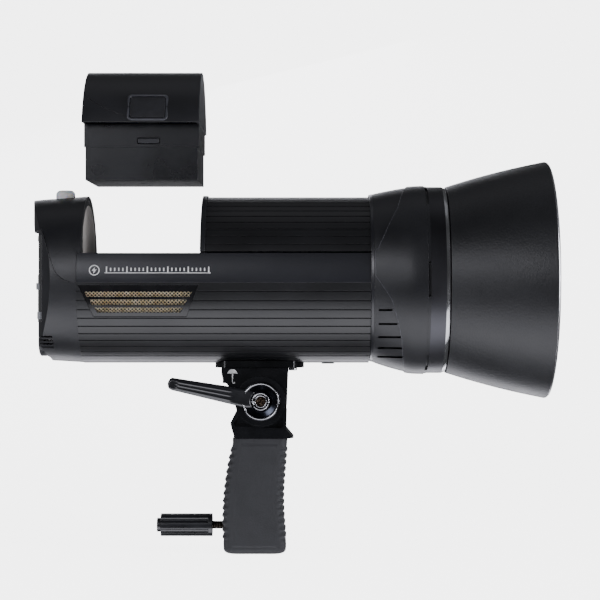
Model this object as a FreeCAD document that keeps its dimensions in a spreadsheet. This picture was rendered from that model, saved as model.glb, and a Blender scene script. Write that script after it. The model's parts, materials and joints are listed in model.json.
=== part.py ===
"""Battery monolight strobe with its tilt bracket, grip, 7-inch reflector and lift-out battery.

Frame: millimetres, +X towards the reflector, +Z up, the origin at the mouth of the stand socket.
The tube axis runs along X at the height called axis_height.
"""
import FreeCAD, Part
import math
import os
import re
import Sketcher
from FreeCAD import Placement, Rotation, Vector

os.makedirs("parts", exist_ok=True)
doc = FreeCAD.newDocument("monolight")
dims = doc.addObject("Spreadsheet::Sheet", "dims")

DRIVING = [
    ("axis_height", 208.3, "height of the tube axis above the stand socket mouth"),
    ("tube_radius", 63.3, "outside radius of the ribbed tube"),
    ("tube_wall", 2.2, "wall of the tube shells"),
    ("tube_rear", -130, "rear end of the tube"),
    ("tube_front", 86.8, "front end of the tube"),
    ("groove_wide", 0.8, "width of a groove between two ribs"),
    ("groove_deep", 0.8, "depth of a groove between two ribs"),
    ("band_bottom", -2.5, "lower edge of the side band, from the axis"),
    ("band_top", 19.4, "upper edge of the side band, from the axis"),
    ("band_gap", 1.2, "shadow gap above the side band"),
    ("bay_rear", -127, "rear wall of the battery bay"),
    ("bay_front", -39.3, "front wall of the battery bay"),
    ("bay_floor", -21.6, "floor of the battery bay, from the axis"),
    ("bay_half", 46.5, "half width of the battery bay"),
    ("bay_wall", 3.2, "wall of the battery tub"),
    ("flange_front", -35.5, "front face of the bulkhead flange"),
    ("flange_radius", 64.4, "outside radius of the bulkhead flange"),
    ("panel_radius", 131, "radius of the curved rear face, about an upright axis"),
    ("panel_middle", -33.8, "place of that upright axis along X"),
    ("panel_half", 44, "half width of the control panel"),
    ("panel_low", -32, "lower edge of the control panel, from the axis"),
    ("panel_high", 33, "upper edge of the control panel, from the axis"),
    ("screen_half", 27, "half width of the display window"),
    ("screen_low", 4, "lower edge of the display window, from the axis"),
    ("screen_high", 29, "upper edge of the display window, from the axis"),
    ("key_proud", 1.1, "how far a key stands out of the panel"),
    ("key_deep", 4.5, "length of a key behind the panel face"),
    ("key_gap", 0.35, "gap round a key"),
    ("dial_low", -46, "height of the dial, from the axis"),
    ("dial_radius", 12, "radius of the control dial"),
    ("dial_back", -164.4, "rear face of the dial"),
    ("dial_well", -157.2, "floor of the dial well"),
    ("dome_place", -144.9, "place of the sensor dome along X"),
    ("dome_radius", 7.3, "radius of the sensor dome"),
    ("dome_top", 68.5, "top of the sensor dome, from the axis"),
    ("collar_front", 130.5, "front end of the moulded collar"),
    ("collar_wall", 2.6, "wall of the moulded collar"),
    ("ring_front", 145, "front face of the accessory mount ring"),
    ("ring_radius", 71.1, "outside radius of the mount ring"),
    ("lip_bore", 49.7, "bore of the bayonet lip"),
    ("channel_bore", 54.4, "bore of the bayonet channel"),
    ("ring_bore", 46, "bore of the mount ring behind the channel"),
    ("lug_radius", 52.7, "outside of a bayonet lug"),
    ("lug_half", 10.5, "half width of a bayonet lug"),
    ("twist", 20, "bayonet twist in degrees"),
    ("rim_radius", 90.1, "outside radius of the reflector rim"),
    ("rim_place", 219.6, "place of the widest point of the rim"),
    ("rim_front", 223, "front end of the reflector"),
    ("pin_circle", 63, "distance of the release pin from the axis"),
    ("pin_radius", 2, "radius of the release pin"),
    ("pivot_x", 5.1, "tilt pivot along X"),
    ("pivot_z", 117, "tilt pivot height"),
    ("bolt_radius", 4, "radius of the tilt bolt"),
    ("shaft_fit", 0.06, "radial running fit of a shaft"),
    ("ear_inner", 19, "inner face of a bracket ear"),
    ("ear_outer", 24.5, "outer face of a bracket ear"),
    ("ear_radius", 20, "rounded end of a bracket ear"),
    ("plate_low", 141.5, "underside of the mount plate"),
    ("umbrella_z", 135.4, "height of the umbrella bore"),
    ("umbrella_radius", 4.05, "radius of the umbrella bore"),
    ("lever_tilt", 11, "rise of the lever in degrees"),
    ("lever_long", 71, "length of the lever arm"),
    ("hub_radius", 18.6, "radius of the lever hub"),
    ("hub_inner", -24.9, "inner face of the lever hub"),
    ("hub_outer", -33, "outer face of the lever hub"),
    ("knuckle_half", 17.7, "half width of the grip head"),
    ("knuckle_radius", 12, "radius of the grip head round the tilt bolt"),
    ("grip_half", 17, "half depth of the rubber grip"),
    ("grip_top", 88, "top of the rubber grip"),
    ("core_half", 12, "half depth of the grip core"),
    ("socket_radius", 8.1, "bore for a 15.9 mm stand spigot"),
    ("socket_wall", 2.4, "wall of the socket sleeve"),
    ("socket_deep", 56, "depth of the stand socket"),
    ("knob_z", 20.9, "height of the stand knob"),
    ("knob_radius", 8.8, "radius of the stand knob"),
    ("knob_left", -71.9, "left end of the fluted knob"),
    ("knob_right", -32.5, "right end of the fluted knob"),
    ("stud_radius", 2.98, "radius of the M6 clamp stud"),
    ("battery_lift", 95, "height of the lifted battery above its seat"),
    ("cell_radius", 9.1, "radius of a battery cell"),
    ("latch_place", -78, "middle of the battery release button along X"),
]
for row, (alias, value, note) in enumerate(DRIVING, start=1):
    dims.set(f"A{row}", note)
    dims.set(f"B{row}", str(value))
    dims.setAlias(f"B{row}", alias)
doc.recompute()
ALIASES = {alias for alias, value, note in DRIVING}
NODES = []


def size(formula):
    """The number that a formula in the sheet's aliases gives."""
    return float(dims.evalExpression(str(formula)))


def linked(formula):
    """The same formula as an expression for another object."""
    return re.sub(r"[a-z_]+", lambda word: "dims." + word[0] if word[0] in ALIASES else word[0], str(formula))


def bind(thing, **formulas):
    """Bind properties to formulas; a double underscore stands for the dot of a path."""
    for path, formula in formulas.items():
        thing.setExpression(path.replace("__", "."), linked(formula))


def up(height):
    """A height above the tube axis, written from the origin."""
    return f"axis_height + ({height})"


def node(label, piece):
    """Name a finished sub-part."""
    piece.Label = label
    NODES.append(piece)
    return piece


# ---- primitives and booleans -------------------------------------------------------------

def box(name, x, y, z):
    """A block between a low and a high formula on each axis."""
    block = doc.addObject("Part::Box", name)
    bind(block, Length=f"({x[1]}) - ({x[0]})", Width=f"({y[1]}) - ({y[0]})", Height=f"({z[1]}) - ({z[0]})")
    bind(block, Placement__Base__x=x[0], Placement__Base__y=y[0], Placement__Base__z=z[0])
    return block


TURN = {"x": Rotation(Vector(0, 1, 0), 90), "y": Rotation(Vector(1, 0, 0), -90), "z": Rotation()}


def rod(name, axis, ends, radius, x="0", y="0", z="0"):
    """A cylinder along one axis between two formulas, at the given place on the other two."""
    bar = doc.addObject("Part::Cylinder", name)
    bar.Placement = Placement(Vector(), TURN[axis])
    place = {"x": x, "y": y, "z": z, axis: ends[0]}
    bind(bar, Radius=radius, Height=f"({ends[1]}) - ({ends[0]})")
    bind(bar, Placement__Base__x=place["x"], Placement__Base__y=place["y"], Placement__Base__z=place["z"])
    return bar


def tube_rod(name, ends, radius, y="0", z="0"):
    """A cylinder parallel to the tube axis, placed from that axis."""
    return rod(name, "x", ends, radius, y=y, z=up(z))


def fused(name, *pieces):
    joined = doc.addObject("Part::MultiFuse", name)
    joined.Shapes = list(pieces)
    return joined


def grouped(name, *pieces):
    """Several separate solids that share one name."""
    group = doc.addObject("Part::Compound", name)
    group.Links = list(pieces)
    return group


def cut(name, base, *tools):
    trimmed = doc.addObject("Part::Cut", name)
    trimmed.Base = base
    trimmed.Tool = tools[0] if len(tools) == 1 else grouped(name + "_tools", *tools)
    return trimmed


def common(name, *pieces):
    shared = doc.addObject("Part::MultiCommon", name)
    shared.Shapes = list(pieces)
    return shared


def softened(name, piece, radius, pick):
    """Round the edges that pick accepts."""
    doc.recompute()
    soft = doc.addObject("Part::Fillet", name)
    soft.Base = piece
    edges = enumerate(piece.Shape.Edges, start=1)
    soft.Edges = [(number, radius, radius) for number, edge in edges if pick(edge)]
    return soft


# ---- bodies drawn from sketches ----------------------------------------------------------

def own_plane(body, role):
    return next(plane for plane in body.Origin.OriginFeatures if plane.Role == role)


def outline(body, name, role, corners, offset="0"):
    """A closed sketch on one of the body's own planes."""
    sketch = body.newObject("Sketcher::SketchObject", name)
    sketch.AttachmentSupport = [(own_plane(body, role), "")]
    sketch.MapMode = "FlatFace"
    bind(sketch, AttachmentOffset__Base__z=offset)
    return draw(sketch, corners)


def draw(sketch, corners):
    """Draw a closed outline. A corner is (x, y); (x, y, via_x, via_y) makes the side that leads to it an arc."""
    points = [Vector(size(corner[0]), size(corner[1]), 0) for corner in corners]
    ends = []
    for index, start in enumerate(points):
        following = corners[(index + 1) % len(corners)]
        finish = points[(index + 1) % len(points)]
        if len(following) > 2:
            middle = Vector(size(following[2]), size(following[3]), 0)
            forwards = (middle - start).cross(finish - middle).z > 0
            arc = Part.Arc(start, middle, finish) if forwards else Part.Arc(finish, middle, start)
            side = sketch.addGeometry(arc, False)
            sketch.addConstraint(Sketcher.Constraint("Radius", side, sketch.Geometry[side].Radius))
        else:
            side = sketch.addGeometry(Part.LineSegment(start, finish), False)
            forwards = True
        ends.append((side, 1, 2) if forwards else (side, 2, 1))
    for index, (side, first, last) in enumerate(ends):
        after, start_of_next, _ = ends[(index + 1) % len(ends)]
        sketch.addConstraint(Sketcher.Constraint("Coincident", side, last, after, start_of_next))
        for kind, formula, value in zip(("DistanceX", "DistanceY"), corners[index], points[index]):
            number = sketch.addConstraint(Sketcher.Constraint(kind, -1, 1, side, first, value))
            sketch.setExpression(f"Constraints[{number}]", linked(formula))
    return sketch


def drawn_body(name, x="0", y="0", z="0"):
    body = doc.addObject("PartDesign::Body", name)
    bind(body, Placement__Base__x=x, Placement__Base__y=y, Placement__Base__z=z)
    return body


def turned(name, corners):
    """A body turned about the tube axis from (x, radius) corners."""
    body = drawn_body(name, z="axis_height")
    spin = body.newObject("PartDesign::Revolution", name + "_turn")
    spin.Profile = outline(body, name + "_profile", "XZ_Plane", corners)
    spin.ReferenceAxis = (spin.Profile[0], ["H_Axis"])
    spin.Angle = 360
    return body


def padded(name, role, corners, ends, **place):
    """A body padded between two formulas along the normal of one of its planes."""
    body = drawn_body(name, **place)
    start = f"-({ends[1]})" if role == "XZ_Plane" else ends[0]
    pad = body.newObject("PartDesign::Pad", name + "_pad")
    pad.Profile = outline(body, name + "_outline", role, corners, offset=start)
    bind(pad, Length=f"({ends[1]}) - ({ends[0]})")
    return body


def spun(name, corners):
    """A solid spun about the tube axis from an outline with arcs in it."""
    sketch = doc.addObject("Sketcher::SketchObject", name + "_profile")
    sketch.Placement = Placement(Vector(), Rotation(Vector(1, 0, 0), 90))
    bind(sketch, Placement__Base__z="axis_height")
    draw(sketch, corners)
    spin = doc.addObject("Part::Revolution", name)
    spin.Source = sketch
    spin.Axis = Vector(1, 0, 0)
    bind(spin, Base__z="axis_height")
    spin.Angle = 360
    spin.Solid = True
    return spin


def side_plate(name, corners, ends):
    """A plate seen from the side: (x, height from the tube axis) corners, padded along Y."""
    return padded(name, "XZ_Plane", corners, ends, z="axis_height")


def level_sector(name, outer, inner, low, high, x, side):
    """The stretch of a tube wall between two heights; side is -1 (left) or 1 (right)."""
    def point(radius, height):
        return f"{side} * sqrt(({radius})^2 - ({height})^2)"
    middle = f"(({low}) + ({high})) / 2"
    corners = [
        (point(outer, low), low),
        (point(outer, high), high, point(outer, middle), middle),
        (point(inner, high), high),
        (point(inner, low), low, point(inner, middle), middle),
    ]
    return padded(name, "YZ_Plane", corners, x, z="axis_height")


def ribbed_shell(name, level, x, side, count, pitch):
    """A tube wall below (side -1) or above (side 1) a level, with a run of fine grooves."""
    def edge(radius):
        return f"sqrt(({radius})^2 - ({level})^2)"
    inner = "tube_radius - tube_wall"
    corners = [
        (f"-{edge('tube_radius')}", level),
        (edge("tube_radius"), level, "0", f"{side} * tube_radius"),
        (edge(inner), level),
        (f"-{edge(inner)}", level, "0", f"{side} * ({inner})"),
    ]
    body = padded(name, "YZ_Plane", corners, x, z="axis_height")
    doc.recompute()
    groove_corners = [
        ("-groove_wide / 2", f"{side} * (tube_radius - groove_deep)"),
        ("groove_wide / 2", f"{side} * (tube_radius - groove_deep)"),
        ("groove_wide / 2", f"{side} * (tube_radius + 1)"),
        ("-groove_wide / 2", f"{side} * (tube_radius + 1)"),
    ]
    groove = body.newObject("PartDesign::Pocket", name + "_groove")
    groove.Profile = outline(body, name + "_groove_outline", "YZ_Plane", groove_corners, offset=x[0])
    bind(groove, Length=f"({x[1]}) - ({x[0]})")
    groove.Reversed = True
    doc.recompute()
    for turn in (-1, 1):
        pattern = body.newObject("PartDesign::PolarPattern", f"{name}_grooves_{turn + 1}")
        pattern.Originals = [groove]
        pattern.Axis = (own_plane_axis(body, "X_Axis"), [""])
        pattern.Angle = pitch * (count - 1)
        pattern.Reversed = turn < 0
        pattern.Occurrences = count
        body.Tip = pattern
        doc.recompute()
    return body


def own_plane_axis(body, role):
    return next(axis for axis in body.Origin.OriginFeatures if axis.Role == role)


# ---- tube, bands and battery bay ---------------------------------------------------------

def vent_outline(grow):
    """The vent's trapezoid, seen from the side, grown by a margin."""
    return [
        (f"-128.7 - {grow}", f"-4.3 + {grow}"),
        (f"-117.6 - {grow}", f"-27.8 - {grow}"),
        (f"-49.3 + {grow}", f"-27.8 - {grow}"),
        (f"-39.9 + {grow}", f"-4.3 + {grow}"),
    ]


def tube_shells():
    """The ribbed lower shell with its two vent windows, and the ribbed upper front shell."""
    lower = ribbed_shell("lower_ribs", "band_bottom", ("tube_rear", "tube_front"), -1, 14, 6.3)
    windows = side_plate("vent_windows", vent_outline("0"), ("-80", "80"))
    node("lower_shell", cut("lower_shell_cut", lower, windows))
    level = "band_top + band_gap"
    node("upper_shell", ribbed_shell("upper_ribs", level, ("flange_front", "tube_front"), 1, 12, 6))


def side_bands():
    """The smooth painted bands along both sides."""
    ends = ("tube_rear", "tube_front")
    inner = "tube_radius - tube_wall"
    walls = [level_sector(f"band_wall_{name}", "tube_radius", inner, "band_bottom", "band_top", ends, side)
             for side, name in ((-1, "left"), (1, "right"))]
    node("side_bands", grouped("band_pair", *walls))


def battery_bay():
    """The moulded tub, its rear wall with the metal plate, and the flanged bulkhead in front."""
    length = ("bay_rear", "bay_front")
    block = box("tub_block", length, ("-bay_half - bay_wall", "bay_half + bay_wall"),
                (up("bay_floor - bay_wall"), up("band_top")))
    round_part = tube_rod("ledge_round", length, "tube_radius - tube_wall - 0.1")
    ledge_slab = box("ledge_slab", length, ("-70", "70"), (up("band_top - 4"), up("band_top")))
    ledge = common("tub_ledge", round_part, ledge_slab)
    hollow = box("tub_hollow", length, ("-bay_half", "bay_half"), (up("bay_floor"), up("band_top + 1")))
    grooves = box("catch_grooves", ("latch_place - 8.5", "latch_place + 8.5"),
                  ("-bay_half - 1.7", "bay_half + 1.7"), (up("5"), up("band_top + 1")))
    node("battery_tub", cut("tub_cut", fused("tub_solid", block, ledge), hollow, grooves))
    plate_round = tube_rod("plate_round", ("bay_rear - 1", "bay_rear"), "57")
    plate_slab = box("plate_slab", ("bay_rear - 1", "bay_rear"), ("-43", "43"),
                     (up("bay_floor + 3.5"), up("60")))
    plate = node("bay_plate", common("bay_plate_cut", plate_round, plate_slab))
    wall = tube_rod("rear_wall_disc", ("tube_rear", "bay_rear"), "tube_radius - tube_wall - 0.5")
    node("bay_rear_wall", cut("rear_wall_cut", wall, plate))
    disc = tube_rod("bulkhead_disc", ("bay_front", "flange_front"), "tube_radius - tube_wall - 0.1")
    flange = tube_rod("flange_disc", ("bay_front", "flange_front"), "flange_radius")
    above = box("flange_above", ("bay_front", "flange_front"), ("-70", "70"),
                (up("band_top + band_gap"), up("70")))
    node("bulkhead", fused("bulkhead_solid", disc, common("flange_arch", flange, above)))


def vents():
    """Each side's grille frame with three long slots, and the woven mesh behind it."""
    slots = [(-124.3, -44.7, -9.1, -13.1), (-120.6, -48.5, -15, -19), (-116.9, -51.6, -20.9, -24.5)]
    frames = []
    sheets = []
    for side, name in ((-1, "left"), (1, "right")):
        ends = ("-70", "-40") if side < 0 else ("40", "70")
        shell = cut(f"vent_ring_{name}",
                    tube_rod(f"vent_out_{name}", ("-130", "-38"), "tube_radius - 0.5"),
                    tube_rod(f"vent_in_{name}", ("-131", "-37"), "tube_radius - 2.4"))
        blank = common(f"vent_blank_{name}", shell, side_plate(f"vent_side_{name}", vent_outline("0"), ends))
        openings = [
            side_plate(f"vent_slot_{name}_{index}",
                       [(left, high), (left + 2, low), (right - 2, low), (right, high)], ends)
            for index, (left, right, high, low) in enumerate(slots)
        ]
        frames.append(cut(f"vent_frame_cut_{name}", blank, *openings))
        sheet = cut(f"mesh_ring_{name}",
                    tube_rod(f"mesh_out_{name}", ("-127", "-42"), "tube_radius - 2.5"),
                    tube_rod(f"mesh_in_{name}", ("-128", "-41"), "tube_radius - 3"))
        patch = box(f"mesh_patch_{name}", ("-126", "-43"), ends, (up("-26.5"), up("-7")))
        sheets.append(common(f"mesh_cut_{name}", sheet, patch))
    node("vent_frames", grouped("vent_frame_pair", *frames))
    node("vent_mesh", grouped("vent_mesh_pair", *sheets))


# ---- rear hood, lower cover and control panel --------------------------------------------

SWOOSH = [
    ("tube_rear", "-2.4"),
    ("-148.5", "11.7", "-143.2", "2"),
    ("-157", "37.7"),
]


def rear_column(name, radius, shift="0"):
    """The upright cylinder whose rear surface is the curved rear face."""
    return rod(name, "z", ("0", "axis_height + 90"), radius, x=f"panel_middle + {shift}")


def rear_hood():
    """The upper rear cover: a visor over the panel, a swept lower edge and the hole for the dome."""
    ends = ("-80", "80")
    skin = spun("hood_skin", [("-172", "0"), ("-172", "60.2"), ("-150", "62.2", "-161", "61.5"),
                                ("bay_rear", "64"), ("bay_rear", "0")])
    hollow = turned("hood_hollow", [("-163.5", "0"), ("-163.5", "58"), ("bay_rear + 1", "61.1"),
                                    ("bay_rear + 1", "0")])
    shape = SWOOSH + [
        ("-164.6", "35.2"), ("-168.6", "50"), ("-175", "80"), ("bay_rear", "80"),
        ("bay_rear", "band_top"), ("tube_rear", "band_top"),
    ]
    outside = common("hood_outside", skin, rear_column("hood_column", "panel_radius", "-3.2"),
                     side_plate("hood_side", shape, ends))
    inside = common("hood_inside", hollow, rear_column("hood_column_inner", "panel_radius - 2.6"))
    hole = rod("dome_hole", "z", (up("50"), up("75")), "dome_radius", x="dome_place")
    node("rear_hood", cut("hood_cut", outside, inside, hole))


def sensor_dome():
    """The frosted cap of the optical trigger sensor, on a flanged base inside the hood."""
    cap = rod("dome_cap", "z", (up("57.5"), up("dome_top")), "dome_radius", x="dome_place")
    base = rod("dome_base", "z", (up("56"), up("57.5")), "dome_radius + 1", x="dome_place")
    top = size(up("dome_top"))
    blank = fused("dome_solid", cap, base)
    node("sensor_dome", softened("dome_rounded", blank, 3.4, lambda edge: edge.BoundBox.ZMin > top - 0.1))


def rear_cover():
    """The lower rear cover with its panel window, dial well, sockets and corner louvres."""
    ends = ("-80", "80")
    skin = turned("cover_skin", [("-170", "0"), ("-170", "60.6"), ("tube_rear", "63"), ("tube_rear", "0")])
    hollow = turned("cover_hollow", [("-163", "0"), ("-163", "58.3"), ("tube_rear + 1", "60.8"),
                                     ("tube_rear + 1", "0")])
    shape = SWOOSH + [
        ("-164.6", "35.2"), ("-168", "30"), ("-168", "-33.3"), ("-155.9", "-57.5"), ("-154.2", "-59"),
        ("-153.4", "-70"), ("tube_rear", "-70"),
    ]
    inner_shape = [("tube_rear + 1", "-70"), ("tube_rear + 1", "45"), ("-164", "45"), ("-164", "-31"),
                   ("-153.5", "-55"), ("-151.2", "-57"), ("-151.2", "-70")]
    outside = common("cover_outside", skin, rear_column("cover_column", "panel_radius"),
                     side_plate("cover_side", shape, ends))
    inside = common("cover_inside", hollow, rear_column("cover_column_inner", "panel_radius - 2.4"),
                    side_plate("cover_side_inner", inner_shape, ends))
    cup = common("dial_cup", outside,
                 tube_rod("dial_cup_rod", ("-168", "dial_well + 2.2"), "dial_radius + 2.4", z="dial_low"))
    shell = fused("cover_with_cup", cut("cover_shell", outside, inside), cup)
    window = box("panel_window", ("-170", "-148"), ("-panel_half", "panel_half"),
                 (up("panel_low"), up("panel_high")))
    well = tube_rod("dial_well_rod", ("-170", "dial_well"), "dial_radius + 0.6", z="dial_low")
    shaft_hole = tube_rod("dial_shaft_hole", ("-170", "-150"), "3", z="dial_low")
    jack_hole = tube_rod("jack_hole", ("-170", "-145"), "4.2", y="-22.5", z="dial_low")
    usb_hole = box("usb_hole", ("-170", "-145"), ("17.5", "27.5"), (up("dial_low - 2.6"), up("dial_low + 2.6")))
    slots = [
        box(f"louvre_{index}_{side}", ("-170", "-149.6"), ("33", "60") if side else ("-60", "-33"),
            (up(f"-42.6 - {index} * 2.7 - 0.65"), up(f"-42.6 - {index} * 2.7 + 0.65")))
        for index in range(5) for side in range(2)
    ]
    node("rear_cover", cut("cover_cut", shell, window, well, shaft_hole, jack_hole, usb_hole, *slots))


def panel_surface(across):
    """Where the curved rear face lies along X at a distance across."""
    return f"(panel_middle - sqrt(panel_radius^2 - ({across})^2))"


KEYS = [
    ("menu_button", -21, -5, 5.2, 2.6),
    ("mode_button", 0, -5, 5.2, 2.6),
    ("sync_button", 21, -5, 5.2, 2.6),
    ("test_button", -31.5, -26.8, 5.2, 2.8),
    ("power_button", 0, -26.8, 5.2, 2.8),
    ("lamp_button", 31.5, -26.8, 5.2, 2.8),
]


def curved_plate(name, proud, deep, half, low, high):
    """A plate that follows the curved rear face."""
    ring = cut(name + "_ring", rear_column(name + "_outside", f"panel_radius + {proud}"),
               rear_column(name + "_inside", f"panel_radius - {deep}"))
    return common(name + "_plate", ring, box(name + "_box", ("-170", "-140"), (f"-({half})", half),
                                             (up(low), up(high))))


def control_panel():
    """The panel plate, its window, every key and the main board behind them."""
    plate = curved_plate("panel", "0.3", "2", "panel_half", "panel_low", "panel_high")
    openings = [box("screen_opening", ("-170", "-140"), ("-screen_half", "screen_half"),
                    (up("screen_low"), up("screen_high")))]
    for name, across, height, half_wide, half_high in KEYS:
        openings.append(box(name + "_hole", ("-170", "-140"),
                            (f"{across} - {half_wide} - key_gap", f"{across} + {half_wide} + key_gap"),
                            (up(f"{height} - {half_high} - key_gap"), up(f"{height} + {half_high} + key_gap"))))
        face = panel_surface(across)
        node(name, box(name + "_key", (f"{face} - key_proud", f"{face} + key_deep"),
                       (f"{across} - {half_wide}", f"{across} + {half_wide}"),
                       (up(f"{height} - {half_high}"), up(f"{height} + {half_high}"))))
    node("control_panel", cut("panel_cut", plate, *openings))
    window = curved_plate("window", "-0.1", "1.5", "screen_half", "screen_low", "screen_high")
    node("display_window", window)
    node("main_board", box("board_block", ("-150.5", "-148.9"), ("-40", "40"), (up("-33"), up("34"))))


def control_dial():
    """The dial on its shaft, which turns in the floor of the dial well."""
    wheel = tube_rod("dial_wheel", ("dial_back", "dial_well - 0.4"), "dial_radius", z="dial_low")
    back = size("dial_back")
    wheel = softened("dial_edge", wheel, 1.6, lambda edge: edge.BoundBox.XMax < back + 0.1)
    shaft = tube_rod("dial_shaft", ("dial_well - 1", "-152"), "3 - shaft_fit", z="dial_low")
    node("control_dial", fused("dial_solid", wheel, shaft))


def rear_sockets():
    """The sync jack and the data socket beside the dial."""
    jack = tube_rod("jack_barrel", ("-158.5", "-146"), "4.2", y="-22.5", z="dial_low")
    jack_bore = tube_rod("jack_bore", ("-159", "-147"), "1.8", y="-22.5", z="dial_low")
    node("sync_socket", cut("jack_cut", jack, jack_bore))
    shell = box("usb_shell", ("-158", "-146"), ("17.5", "27.5"), (up("dial_low - 2.6"), up("dial_low + 2.6")))
    hollow = box("usb_hollow", ("-159", "-147"), ("18.1", "26.9"), (up("dial_low - 2"), up("dial_low + 2")))
    node("data_socket", cut("usb_cut", shell, hollow))


# ---- front collar, mount ring and reflector ----------------------------------------------

COLLAR_RINGS = [("tube_front", 63.1, 1.7), ("98", 66.6, 0.9), ("110", 69.4, 0.3), ("118", 70.8, 0),
                ("collar_front", 71.3, 0)]


def collar_solid(name, shrink, stretch):
    """A loft through the collar's rings, made smaller for the hollow."""
    rings = []
    for index, (place, radius, rise) in enumerate(COLLAR_RINGS):
        ring = doc.addObject("Part::Circle", f"{name}_ring_{index}")
        ring.Placement = Placement(Vector(), TURN["x"])
        reach = {0: -stretch, len(COLLAR_RINGS) - 1: stretch}.get(index, 0)
        bind(ring, Radius=f"{radius} - ({shrink})", Placement__Base__x=f"{place} + {reach}",
             Placement__Base__z=up(rise))
        rings.append(ring)
    loft = doc.addObject("Part::Loft", name)
    loft.Sections = rings
    loft.Solid = True
    return loft


def front_collar():
    """The moulded collar between tube and mount ring, with five slits low on each side."""
    slits = [
        box(f"collar_slit_{index}", ("92.6", front), ("-80", "80"), (up(f"{height} - 0.75"), up(f"{height} + 0.75")))
        for index, (height, front) in enumerate(((-22.7, 102.4), (-33, 106.2), (-42.8, 109),
                                                 (-51.1, 110.4), (-58, 112)))
    ]
    window = box("release_window", ("112.9", "125.6"), ("58", "80"), (up("-7.6"), up("7.6")))
    shell = cut("collar_shell", collar_solid("collar_outside", "0", 0), collar_solid("collar_hollow", "collar_wall", 1))
    node("front_collar", cut("collar_cut", shell, window, *slits))


def mount_ring():
    """The accessory mount: a bayonet channel behind a lip with three notches."""
    body = turned("mount_ring_body", [
        ("collar_front", "ring_bore"), ("collar_front", "ring_radius"), ("ring_front", "ring_radius"),
        ("ring_front", "lip_bore"), ("ring_front - 3.2", "lip_bore"), ("ring_front - 3.2", "channel_bore"),
        ("collar_front + 5", "channel_bore"), ("collar_front + 5", "ring_bore"),
    ])
    notch = body.newObject("PartDesign::Pocket", "lip_notch")
    corners = [("-lug_half - 2.8", "lip_bore - 4"), ("lug_half + 2.8", "lip_bore - 4"),
               ("lug_half + 2.8", "channel_bore"), ("-lug_half - 2.8", "channel_bore")]
    notch.Profile = outline(body, "lip_notch_outline", "YZ_Plane", corners, offset="ring_front + 1")
    bind(notch, Length="4.2")
    three_times(body, notch, "lip_notches")
    body.Placement.Rotation = Rotation(Vector(1, 0, 0), size("twist"))
    hole = rod("pin_hole", "x", ("collar_front - 1", "ring_front + 1"), "pin_radius + 0.35",
               y="pin_circle", z="axis_height")
    node("mount_ring", cut("mount_ring_cut", body, hole))


def three_times(body, feature, name):
    """Repeat a feature at three places round the tube axis."""
    doc.recompute()
    before = body.Shape.Volume
    pattern = body.newObject("PartDesign::PolarPattern", name)
    pattern.Originals = [feature]
    pattern.Axis = (own_plane_axis(body, "X_Axis"), [""])
    pattern.Angle = 360
    pattern.Occurrences = 3
    body.Tip = pattern
    doc.recompute()
    if abs(body.Shape.Volume - before) < 1:
        raise ValueError(f"{name} changed nothing")


def release_slider():
    """The thumb slide on the far side of the collar, whose pin stops the bayonet."""
    thumb = box("release_thumb", ("117.4", "125"), ("61", "74.4"), (up("-7"), up("7")))
    pin = rod("release_pin", "x", ("124", "146.9"), "pin_radius", y="pin_circle", z="axis_height")
    node("mount_release", fused("release_solid", thumb, pin))


def reflector():
    """The spun metal reflector and the bayonet sleeve riveted into its base."""
    bowl = spun("bowl", [
        ("ring_front + 0.4", "47"), ("ring_front + 0.4", "71"),
        ("rim_place", "rim_radius", "182.5", "81.8"), ("rim_front", "87.6", "222.3", "89.5"),
        ("rim_place - 0.4", "88.5", "221.4", "88.3"), ("147.2", "69.6", "182.6", "80.4"), ("147.2", "47"),
    ])
    wedge = rod("slot_wedge", "x", ("145", "148"), "pin_circle + 2.4", z="axis_height")
    wedge.Angle = size("twist") + 8
    start = 90 - size("twist") - 4
    wedge.Placement = Placement(Vector(), TURN["x"].multiply(Rotation(Vector(0, 0, 1), start)))
    keep = rod("slot_core", "x", ("144", "149"), "pin_circle - 2.4", z="axis_height")
    node("reflector_bowl", cut("bowl_cut", bowl, cut("arc_slot", wedge, keep)))
    sleeve = turned("sleeve", [("136.4", "45.2"), ("136.4", "49.2"), ("ring_front + 0.4", "49.2"),
                               ("ring_front + 0.4", "47"), ("147.2", "47"), ("147.2", "45.2")])
    doc.recompute()
    lug = sleeve.newObject("PartDesign::Pad", "lug")
    corners = [("-lug_half", "47"), ("lug_half", "47"), ("lug_half", "lug_radius"), ("-lug_half", "lug_radius")]
    lug.Profile = outline(sleeve, "lug_outline", "YZ_Plane", corners, offset="137")
    bind(lug, Length="3.6")
    three_times(sleeve, lug, "lugs")
    node("reflector_mount", sleeve)


# ---- flash head and what is inside the tube ----------------------------------------------

def flash_head():
    """The lamp base, ring flash tube, modelling lamp and protective glass dome."""
    node("lamp_base", tube_rod("lamp_base_disc", ("collar_front - 3", "collar_front"), "60"))
    ring = doc.addObject("Part::Torus", "flash_ring")
    ring.Placement = Placement(Vector(), TURN["x"])
    bind(ring, Radius1="27", Radius2="4.2", Placement__Base__x="142", Placement__Base__z="axis_height")
    legs = [tube_rod(f"flash_leg_{index}", ("collar_front", "142"), "4.2", y=across, z="-26.5")
            for index, across in enumerate((-6, 6))]
    node("flash_tube", fused("flash_solid", ring, *legs))
    base = tube_rod("led_base", ("collar_front", "134"), "13")
    emitter = box("led_chip", ("134", "135.4"), ("-9", "9"), (up("-9"), up("9")))
    node("modelling_lamp", fused("led_solid", base, emitter))
    node("glass_dome", spun("glass_dome_body", [
        ("collar_front", "40"), ("collar_front", "42"), ("140", "42"), ("172", "0", "159.2", "30.8"),
        ("170", "0"), ("140", "39.95", "157.8", "29.4"),
    ]))


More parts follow.
